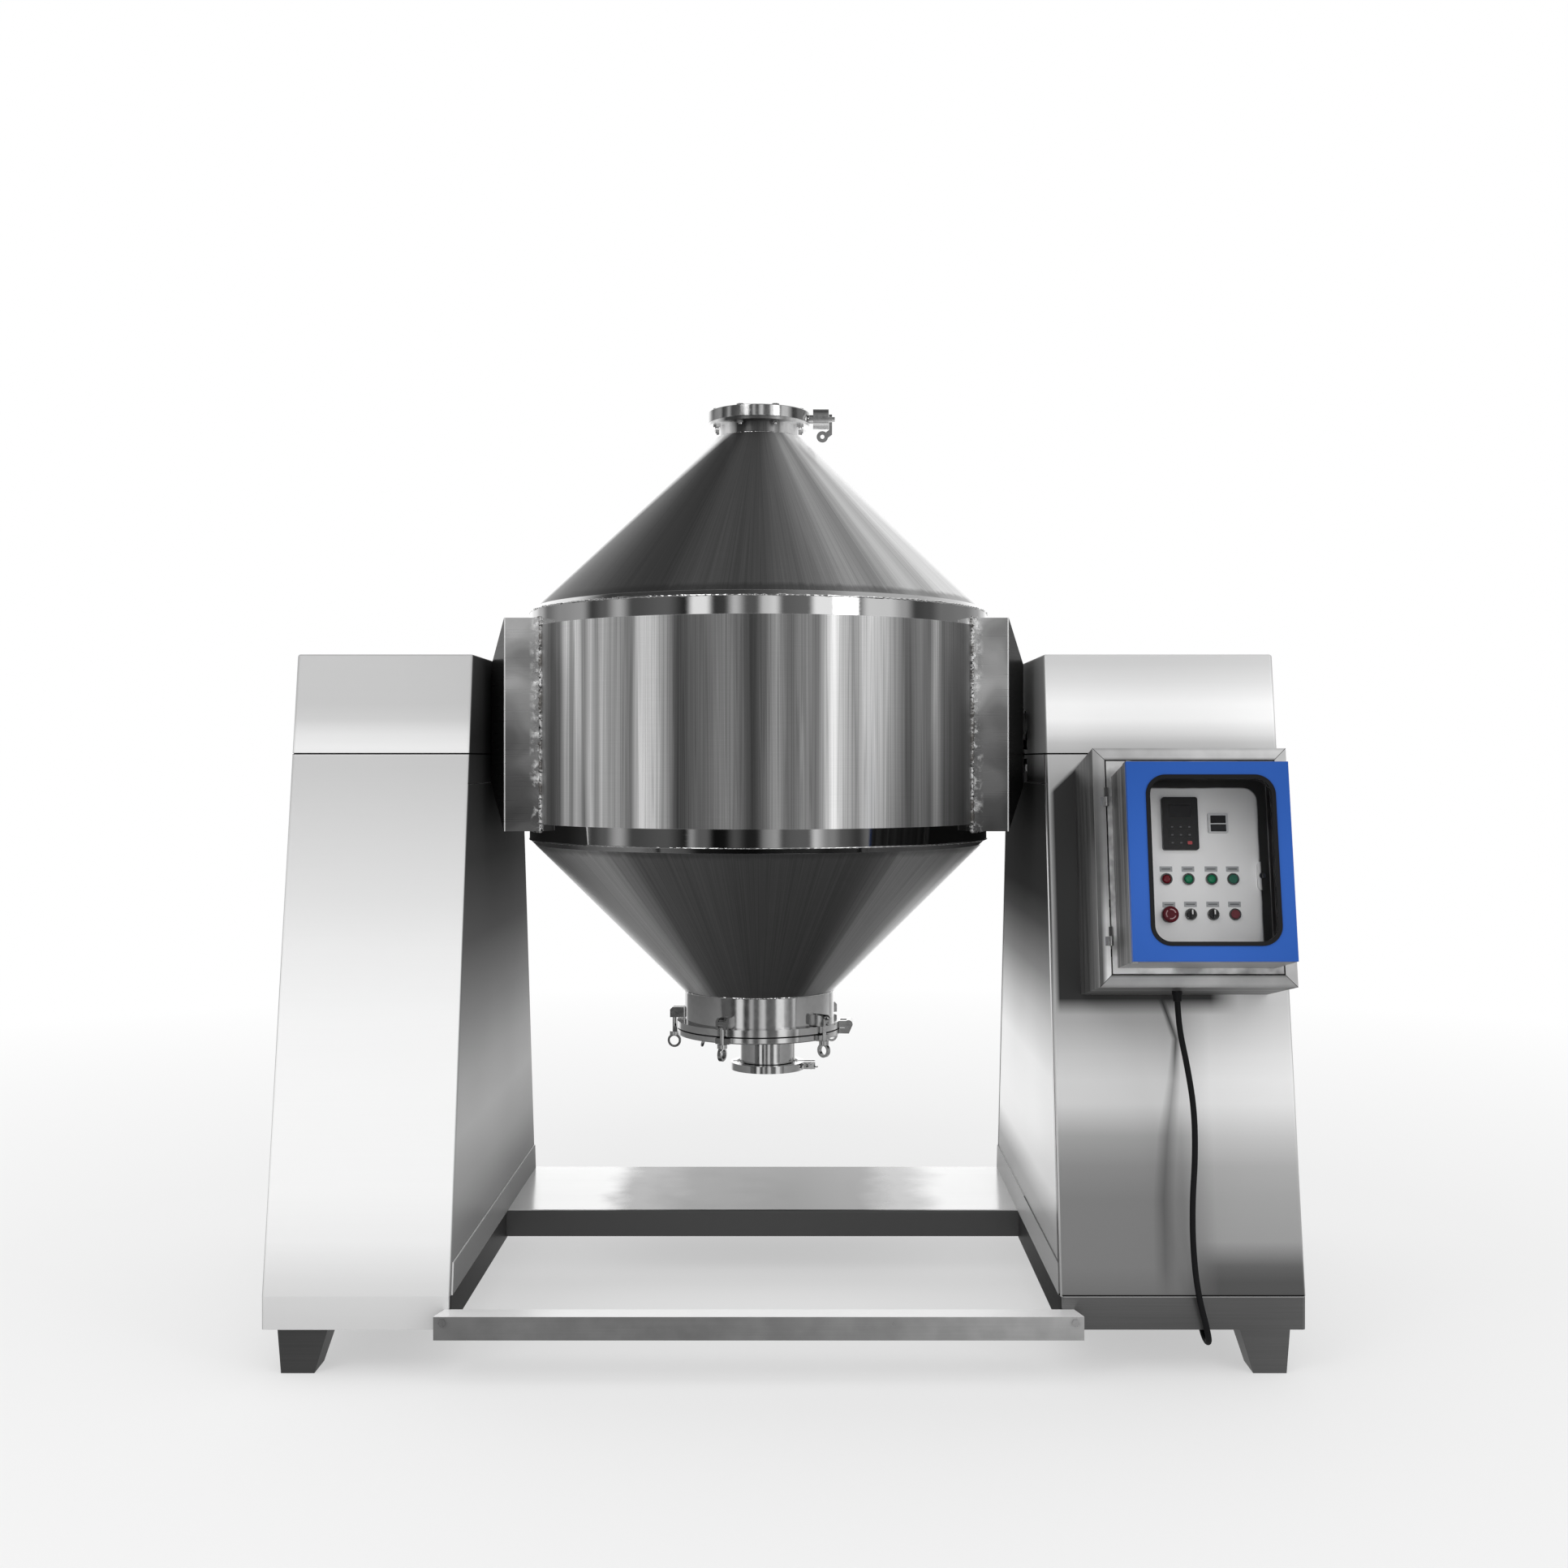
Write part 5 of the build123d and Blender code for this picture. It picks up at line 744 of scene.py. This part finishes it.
# Detail pieces
def cabinet_place(along, rise, out):
    """Matrix of a plane on the cabinet: x across, y up the slope, z towards the operator."""
    spot = Vector((CABINET_X + along, DRUM_Y - BASE_HALF_DEPTH + rise * sin(TILT) - out * cos(TILT),
                   BEAM_TOP + rise * cos(TILT) + out * sin(TILT)))
    turned = Matrix(((1, 0, 0), (0, sin(TILT), -cos(TILT)), (0, cos(TILT), sin(TILT)))).to_4x4()
    return Matrix.Translation(spot) @ turned


def panel_place(spot, out):
    """Matrix of a plane on the inner door, from the hood's centre."""
    return cabinet_place(HOOD_PLACE[0] + spot[0], CABINET_RISE + HOOD_PLACE[1] + spot[1], CABINET_DEPTH + out)


def finish_piece(name, body, made, shape, smooth=True):
    """Turns a mesh in the making into a piece that rides on a body."""
    bmesh.ops.recalc_face_normals(shape, faces=shape.faces)
    for face in shape.faces:
        face.smooth = smooth
    mesh = bpy.data.meshes.new(name)
    shape.to_mesh(mesh)
    shape.free()
    mesh.materials.append(made)
    thing = bpy.data.objects.new(name, mesh)
    bpy.context.scene.collection.objects.link(thing)
    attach(thing, body)


def slab(shape, spot, out, width, height, thickness, radius=0.0, soft=0.0003):
    """Adds a plate with round corners and eased edges, its back on a plane out of the inner door."""
    made = bmesh.new()
    corners = []
    steps = 6 if radius else 1
    for turn, (across, up) in enumerate(((1, 1), (-1, 1), (-1, -1), (1, -1))):
        for step in range(steps):
            angle = (turn + step / max(steps - 1, 1)) * pi / 2
            corners.append((across * (width / 2 - radius) + radius * cos(angle),
                            up * (height / 2 - radius) + radius * sin(angle), 0.0))
    base = made.faces.new([made.verts.new(corner) for corner in corners])
    raised = bmesh.ops.extrude_face_region(made, geom=[base])["geom"]
    top = [part for part in raised if isinstance(part, bmesh.types.BMVert)]
    bmesh.ops.translate(made, verts=top, vec=(0, 0, thickness))
    rim = [edge for edge in made.edges if all(vert in top for vert in edge.verts)]
    bmesh.ops.bevel(made, geom=rim, offset=soft, segments=2, affect="EDGES")
    bmesh.ops.recalc_face_normals(made, faces=made.faces)
    bmesh.ops.transform(made, matrix=panel_place(spot, out), verts=made.verts)
    carrier = bpy.data.meshes.new("carrier")
    made.to_mesh(carrier)
    made.free()
    shape.from_mesh(carrier)
    bpy.data.meshes.remove(carrier)


def plates(name, body, made, slot, *slabs):
    """A piece of one or more plates, each given by the values that slab takes."""
    shape = bmesh.new()
    for values in slabs:
        slab(shape, *values)
    finish_piece(name, body, made, shape, smooth=False)


def bead(shape, path, radius, seed, closed=False, rough=0.35, pace=0.35):
    """Adds a weld bead along a path: a tube of overlapping, uneven drops."""
    sides = 8
    rings = []
    last = len(path) - 1
    for index, spot in enumerate(path):
        before = path[index - 1] if index or closed else path[0]
        after = path[(index + 1) % len(path)] if index < last or closed else path[last]
        along = (after - before).normalized()
        across = along.orthogonal() if abs(along.z) > 0.9 else along.cross(Vector((0, 0, 1)))
        across.normalize()
        other = along.cross(across)
        drops = noise.noise(Vector((index * pace, seed, 0.0)))
        lesser = noise.noise(Vector((index * 1.3, seed, 4.0)))
        grown = radius * (1 + rough * (drops + 0.6 * lesser) + 0.18 * sin(index * 1.9))
        jitter = radius * 0.6 * rough * noise.noise(Vector((index * 0.5, seed, 9.0)))
        ring = []
        for side in range(sides):
            turn = side / sides * 2 * pi
            sideways = spot + across * (jitter + grown * cos(turn))
            ring.append(shape.verts.new(sideways + other * grown * sin(turn)))
        rings.append(ring)
    pairs = list(zip(rings, rings[1:])) + ([(rings[-1], rings[0])] if closed else [])
    for first, second in pairs:
        for side in range(sides):
            after = (side + 1) % sides
            shape.faces.new((first[side], first[after], second[after], second[side]))
    if not closed:
        shape.faces.new(reversed(rings[0]))
        shape.faces.new(rings[-1])


def ring_path(radius, height, count, low=0.0, high=2 * pi):
    """Points round the drum's axis at a height."""
    spots = []
    for index in range(count):
        turn = low + (high - low) * index / count
        spots.append(Vector((DRUM_X + radius * sin(turn), DRUM_Y - radius * cos(turn), height)))
    return spots


# Weld beads on the drum: radius of the two necks' welds, and their distance from the drum's seams
MANHOLE_WELD = (0.217, 0.439)
VALVE_WELD = (0.1155, 0.513)
# How far the trunnions' beads stand out of the corner
WELD_OUT = 0.001
UPRIGHT_DROPS = 180
ARC_DROPS = 120


def weld_steel():
    """Bright, lumpy weld metal with a trace of heat tint."""
    made, maker, shader = material("weld_steel", Metallic=0.45)
    vector = own(maker)
    lumps = maker.noise(vector, 160.0, 4.0)
    tint = maker.noise(vector, 22.0, 2.0)
    dull = maker.mix(maker.span(lumps, 0.40, 0.56), 0.05, 1.0)
    maker.wire(shader,
               Base_Color=maker.mix(maker.span(tint, 0.46, 0.62), dull, (0.20, 0.19, 0.18)),
               Roughness=maker.linear(lumps, 0.3, 0.04),
               Normal=maker.add("ShaderNodeBump", {"Strength": 0.8, "Distance": 0.003, "Height": lumps}))
    return made


def trunnion_weld(side):
    """Weld round one side's trunnion: upright beads in front and behind, arcs above and below."""
    shape = bmesh.new()
    saddle = (DRUM_RADIUS ** 2 - TRUNNION_HALF ** 2) ** 0.5
    for face in (-1, 1):
        upright = []
        for index in range(UPRIGHT_DROPS):
            height = SHAFT_Z - TRUNNION_HALF + 2 * TRUNNION_HALF * index / (UPRIGHT_DROPS - 1)
            upright.append(Vector((DRUM_X + side * (saddle + WELD_OUT),
                                   DRUM_Y + face * (TRUNNION_HALF + WELD_OUT), height)))
        bead(shape, upright, 0.0055, side + 3 * face, rough=0.75)
    lap = atan(TRUNNION_HALF / saddle)
    for end in (-1, 1):
        arc = ring_path(DRUM_RADIUS + WELD_OUT, SHAFT_Z + end * (TRUNNION_HALF + WELD_OUT), ARC_DROPS,
                        side * pi / 2 - lap, side * pi / 2 + lap)
        bead(shape, arc, 0.004, side + 7 * end, rough=0.5)
    return shape


def seam_welds():
    """The polished beads at the cylinder's two seams and round the two necks."""
    shape = bmesh.new()
    seam_radius = DRUM_RADIUS - 0.0006
    manhole_radius, manhole_drop = MANHOLE_WELD
    valve_radius, valve_rise = VALVE_WELD
    bead(shape, ring_path(seam_radius, UPPER_SEAM, 720), 0.0027, 2, closed=True, rough=1.0, pace=0.13)
    bead(shape, ring_path(seam_radius, LOWER_SEAM, 720), 0.0018, 5, closed=True, rough=0.4)
    bead(shape, ring_path(manhole_radius, LOWER_SEAM - manhole_drop, 300), 0.0026, 6, closed=True, rough=0.5)
    bead(shape, ring_path(valve_radius, UPPER_SEAM + valve_rise, 200), 0.0024, 8, closed=True, rough=0.5)
    return shape


weld = weld_steel()
for side, label in ((-1, "left"), (1, "right")):
    finish_piece(label + "_trunnion_weld", "drum", weld, trunnion_weld(side))
polished_bead = plain_steel("polished_bead", 0.92, 0.08)
finish_piece("drum_seam_welds", "drum", polished_bead, seam_welds())

# Places of the keypad, the timer and both rows of controls from the hood's centre; sizes across, up and out
KEYPAD = (-0.0285, 0.117)
KEYPAD_SIZE = (0.088, 0.131, 0.014)
TIMER = (0.0655, 0.119)
TIMER_SIZE = (0.049, 0.049, 0.009)
UPPER_ROW = ((-0.0658, -0.0195), (-0.012, -0.0195), (0.0445, -0.0195), (0.097, -0.0195))
LOWER_ROW = ((-0.062, -0.107), (-0.0095, -0.106), (0.045, -0.106), (0.098, -0.106))
# The plates' middles lie over the controls; the knobs' and the mushroom's heads stand out of the door
PLATE_RISE = 0.025
HEAD_OUT = 0.023
# Printed marks and raised ones, with their eased edges
PRINT_THICKNESS = 0.0003
RAISED_THICKNESS = 0.0004
MARK_EASE = 0.0001

display = paint("display_glass", (0.012, 0.012, 0.014), 0.12, coat=0.6, peel=0.0)
grey_print = paint("grey_print", (0.085, 0.09, 0.095), 0.4)
red_print = paint("red_print", (0.42, 0.03, 0.035), 0.35)
timer_field = paint("timer_field", (0.030, 0.031, 0.034), 0.4, gloss=0.15)
mark_print = paint("mark_print", (0.10, 0.105, 0.11), 0.45)
pointer_white = paint("pointer_white", (0.82, 0.82, 0.80), 0.35)
ring_print = paint("ring_print", (0.62, 0.42, 0.43), 0.35)


def keypad_pieces():
    """The keypad's display, a grey mark on each key and a red one on the key at the lower right."""
    across, up = KEYPAD
    width, height, depth = KEYPAD_SIZE
    key_face = depth + 0.0015
    plates("keypad_display", "door", display, "black_plastic",
           ((across, up + height * 0.24), depth - 0.002, width * 0.62 - 0.001, height * 0.24 - 0.001,
            0.0012, 0.001))
    keys = [(across + column * width * 0.24, up - height * 0.22 + row * height * 0.15)
            for column in (-1, 0, 1) for row in (-1, 0, 1) if (column, row) != (1, -1)]
    plates("key_marks", "door", grey_print, "plate_plastic",
           *[(key, key_face, 0.0055, 0.0035, PRINT_THICKNESS, 0.001, MARK_EASE) for key in keys])
    plates("red_key_mark", "door", red_print, "red_plastic",
           ((across + width * 0.24, up - height * 0.37), key_face, 0.011, 0.008,
            RAISED_THICKNESS, 0.002, MARK_EASE))


def timer_pieces():
    """The timer's display and the dark field over its two keys."""
    across, up = TIMER
    width, height, depth = TIMER_SIZE
    plates("timer_display", "door", display, "black_plastic",
           ((across, up + height * 0.18), depth - 0.002, width * 0.78 - 0.0008, height * 0.4 - 0.0008,
            0.0014, 0.001))
    plates("timer_field", "door", timer_field, "plate_plastic",
           ((across, up - height * 0.26), depth, width * 0.78, height * 0.36, 0.0013, 0.001, 0.0002))


def ring_marks():
    """Three arcs on the head of the emergency stop."""
    shape = bmesh.new()
    head = panel_place(LOWER_ROW[0], HEAD_OUT)
    radius = 0.0115
    steps = 14
    for third in range(3):
        curve = []
        for step in range(steps):
            turn = (third + 0.12 + 0.72 * step / (steps - 1)) * 2 * pi / 3
            curve.append(head @ Vector((radius * cos(turn), radius * sin(turn), -0.0004)))
        bead(shape, curve, 0.0014, third, rough=0.0)
    return shape


keypad_pieces()
timer_pieces()
plates("plate_marks", "door", mark_print, "plate_plastic",
       *[((across, up + PLATE_RISE), 0.0012, 0.022, 0.0028, PRINT_THICKNESS, 0.0, MARK_EASE)
         for across, up in UPPER_ROW + LOWER_ROW])
for body, (across, up) in zip(("left_knob", "right_knob"), LOWER_ROW[1:3]):
    plates(body + "_pointer", body, pointer_white, "plate_plastic",
           ((across, up + 0.004), HEAD_OUT, 0.0030, 0.0115, RAISED_THICKNESS, 0.0006, MARK_EASE))
finish_piece("stop_ring_marks", "emergency", ring_print, ring_marks())

# Border strips on the right pedestal's inner wall
STRIP_FOOT = BEAM_TOP + 0.006
STRIP_TOP = CAP_SEAM - 0.004
STRIP_INSET = 0.008
STRIP_THICKNESS = 0.0015


def wall_strip(shape, face, width):
    """Adds a strip on the right pedestal's inner wall that follows its front or rear edge."""
    quad = []
    for height in (STRIP_FOOT, STRIP_TOP):
        half_depth = BASE_HALF_DEPTH - (height - BEAM_TOP) * SLOPE
        for inward in (STRIP_INSET, STRIP_INSET + width):
            quad.append((DRUM_Y + face * (half_depth - inward / cos(TILT)), height))
    order = [quad[0], quad[1], quad[3], quad[2]]
    back = [shape.verts.new((RIGHT_WALL, *corner)) for corner in order]
    front = [shape.verts.new((RIGHT_WALL - STRIP_THICKNESS, *corner)) for corner in order]
    shape.faces.new(front)
    shape.faces.new(reversed(back))
    for index in range(4):
        after = (index + 1) % 4
        shape.faces.new((back[index], back[after], front[after], front[index]))


shape = bmesh.new()
wall_strip(shape, -1, 0.020)
wall_strip(shape, 1, 0.014)
edging = plain_steel("edging_steel", 0.42, 0.30, (3.0, 3.0, 400.0), 0.05)
finish_piece("inner_wall_edging", "frame", edging, shape, smooth=False)

# Studio: lit strips all round, by the angle, repeated where the floor is seen in polished metal
stripes = (
    [(-180, 1.3), (-160, 1.2), (-146, 0.9), (-136, 0.5), (-126, 0.18), (-112, 0.30), (-95, 0.36), (-87, 0.06),
     (-79, 0.12), (-70, 0.45), (-62, 0.08), (-44, 0.12), (-34, 0.02), (-30, 0.9), (-24, 0.9), (-20, 0.04),
     (-15, 0.05), (-10, 0.55), (-4, 0.10)],
    [(0, 0.10), (4, 0.6), (9, 0.75), (13, 0.12), (25, 0.15), (29, 0.95), (37, 0.95), (42, 0.4), (50, 0.18),
     (56, 0.7), (67, 0.68), (76, 0.38), (84, 0.06), (93, 0.08), (103, 0.18), (125, 0.22), (141, 0.4),
     (151, 0.7), (163, 1.1), (180, 1.3)],
)
left_stops = [(-90, 0.05), (-45, 0.12), (0, 0.5), (30, 0.10), (50, 0.05), (90, 0.06)]
right_stops = [(-90, 0.05), (-45, 0.15), (0, 0.9), (34, 0.95), (45, 0.50), (62, 0.48), (74, 0.22), (90, 0.07)]
level_stops = [(-48, 0.0), (-34, 1.0), (34, 1.0), (48, 0.0)]


def by_elevation(maker, elevation, stops):
    """Shade by the ray's elevation, in degrees."""
    scaled = [((degrees + 90) / 180, shade) for degrees, shade in stops]
    return maker.ramp(maker.span(elevation, -pi / 2, pi / 2), scaled)


def studio_world():
    """White to the camera and even light on matt surfaces; polished metal sees the strips and a sky."""
    world = bpy.data.worlds.new("studio")
    bpy.context.scene.world = world
    world.use_nodes = True
    maker = Maker(world.node_tree)
    direction = maker.add("ShaderNodeTexCoord").outputs["Generated"]
    x, y, z = maker.add("ShaderNodeSeparateXYZ", {0: direction}).outputs
    angle = maker.math("ARCTAN2", x, maker.times(y, -1.0))
    elevation = maker.math("ARCSINE", z)
    left_sky = by_elevation(maker, elevation, left_stops)
    right_sky = by_elevation(maker, elevation, right_stops)
    sky = maker.mix(maker.span(x, -0.06, 0.16), left_sky, right_sky)
    level = by_elevation(maker, elevation, level_stops)
    glossy = maker.mix(level, sky, by_angle(maker, angle, *stripes))
    path = maker.add("ShaderNodeLightPath")
    seen = maker.mix(path.outputs["Is Glossy Ray"], 0.95, glossy)
    seen = maker.mix(path.outputs["Is Camera Ray"], seen, 1.0)
    background = maker.add("ShaderNodeBackground", {"Color": seen, "Strength": 1.0})
    maker.add("ShaderNodeOutputWorld", {0: background})


def floor_paint():
    """Floor that fades to white; polished metal sees the strips on it, with a painted shadow darkening it
    towards the machine.
    """
    made = bpy.data.materials.new("floor")
    made.use_nodes = True
    maker = Maker(made.node_tree)
    vector, x, y, _ = place(maker)
    distance = maker.add("ShaderNodeVectorMath", {0: vector}, operation="LENGTH").outputs["Value"]
    lit = maker.add("ShaderNodeBsdfDiffuse", {"Color": colour(0.80)})
    white = maker.add("ShaderNodeEmission", {"Color": colour(1.0)})
    far = maker.linear(maker.span(distance, 2.5, 7.0), 0.5, 0.5)
    shown = maker.add("ShaderNodeMixShader", {0: far, 1: lit, 2: white})
    striped = by_angle(maker, cylindrical(maker, x, y), *stripes)
    # Painted shadow for polished metal: darker towards the machine
    beyond = maker.mix(maker.span(distance, 1.0, 2.4), 0.22, striped)
    near = maker.mix(maker.span(distance, 0.45, 1.1), 0.02, beyond)
    mirrored = maker.add("ShaderNodeEmission", {"Color": near})
    glossy = maker.add("ShaderNodeLightPath").outputs["Is Glossy Ray"]
    chosen = maker.add("ShaderNodeMixShader", {0: glossy, 1: shown, 2: mirrored})
    maker.add("ShaderNodeOutputMaterial", {0: chosen})
    return made


def aimed_lamp(name, kind, power, spot, target):
    """A lamp aimed at a point; returns its data."""
    lamp = bpy.data.lights.new(name, kind)
    lamp.energy = power
    thing = bpy.data.objects.new(name, lamp)
    bpy.context.scene.collection.objects.link(thing)
    thing.location = spot
    thing.rotation_euler = (Vector(target) - Vector(spot)).to_track_quat("-Z", "Y").to_euler()
    return lamp


studio_world()

floor_mesh = bpy.data.meshes.new("floor")
shape = bmesh.new()
bmesh.ops.create_circle(shape, cap_ends=True, radius=14.0, segments=96)
shape.to_mesh(floor_mesh)
shape.free()
floor_mesh.materials.append(floor_paint())
floor = bpy.data.objects.new("floor", floor_mesh)
bpy.context.scene.collection.objects.link(floor)

MACHINE_MIDDLE = (0, 0, 1.2)
for name, power, spot, size in (("key", 40, (-2.6, -4.2, 4.6), (2.0, 2.0)),
                                ("fill", 20, (3.4, -3.8, 3.2), (1.2, 3.0))):
    lamp = aimed_lamp(name, "AREA", power, spot, MACHINE_MIDDLE)
    lamp.shape = "RECTANGLE"
    lamp.size, lamp.size_y = size

# Narrow lamp into the cabinet's hood
lamp = aimed_lamp("cabinet_lamp", "SPOT", 150, (0.85, -4.40, 1.75), (1.00, -0.60, 1.22))
lamp.spot_size = radians(9)
lamp.spot_blend = 0.8
lamp.shadow_soft_size = 0.12
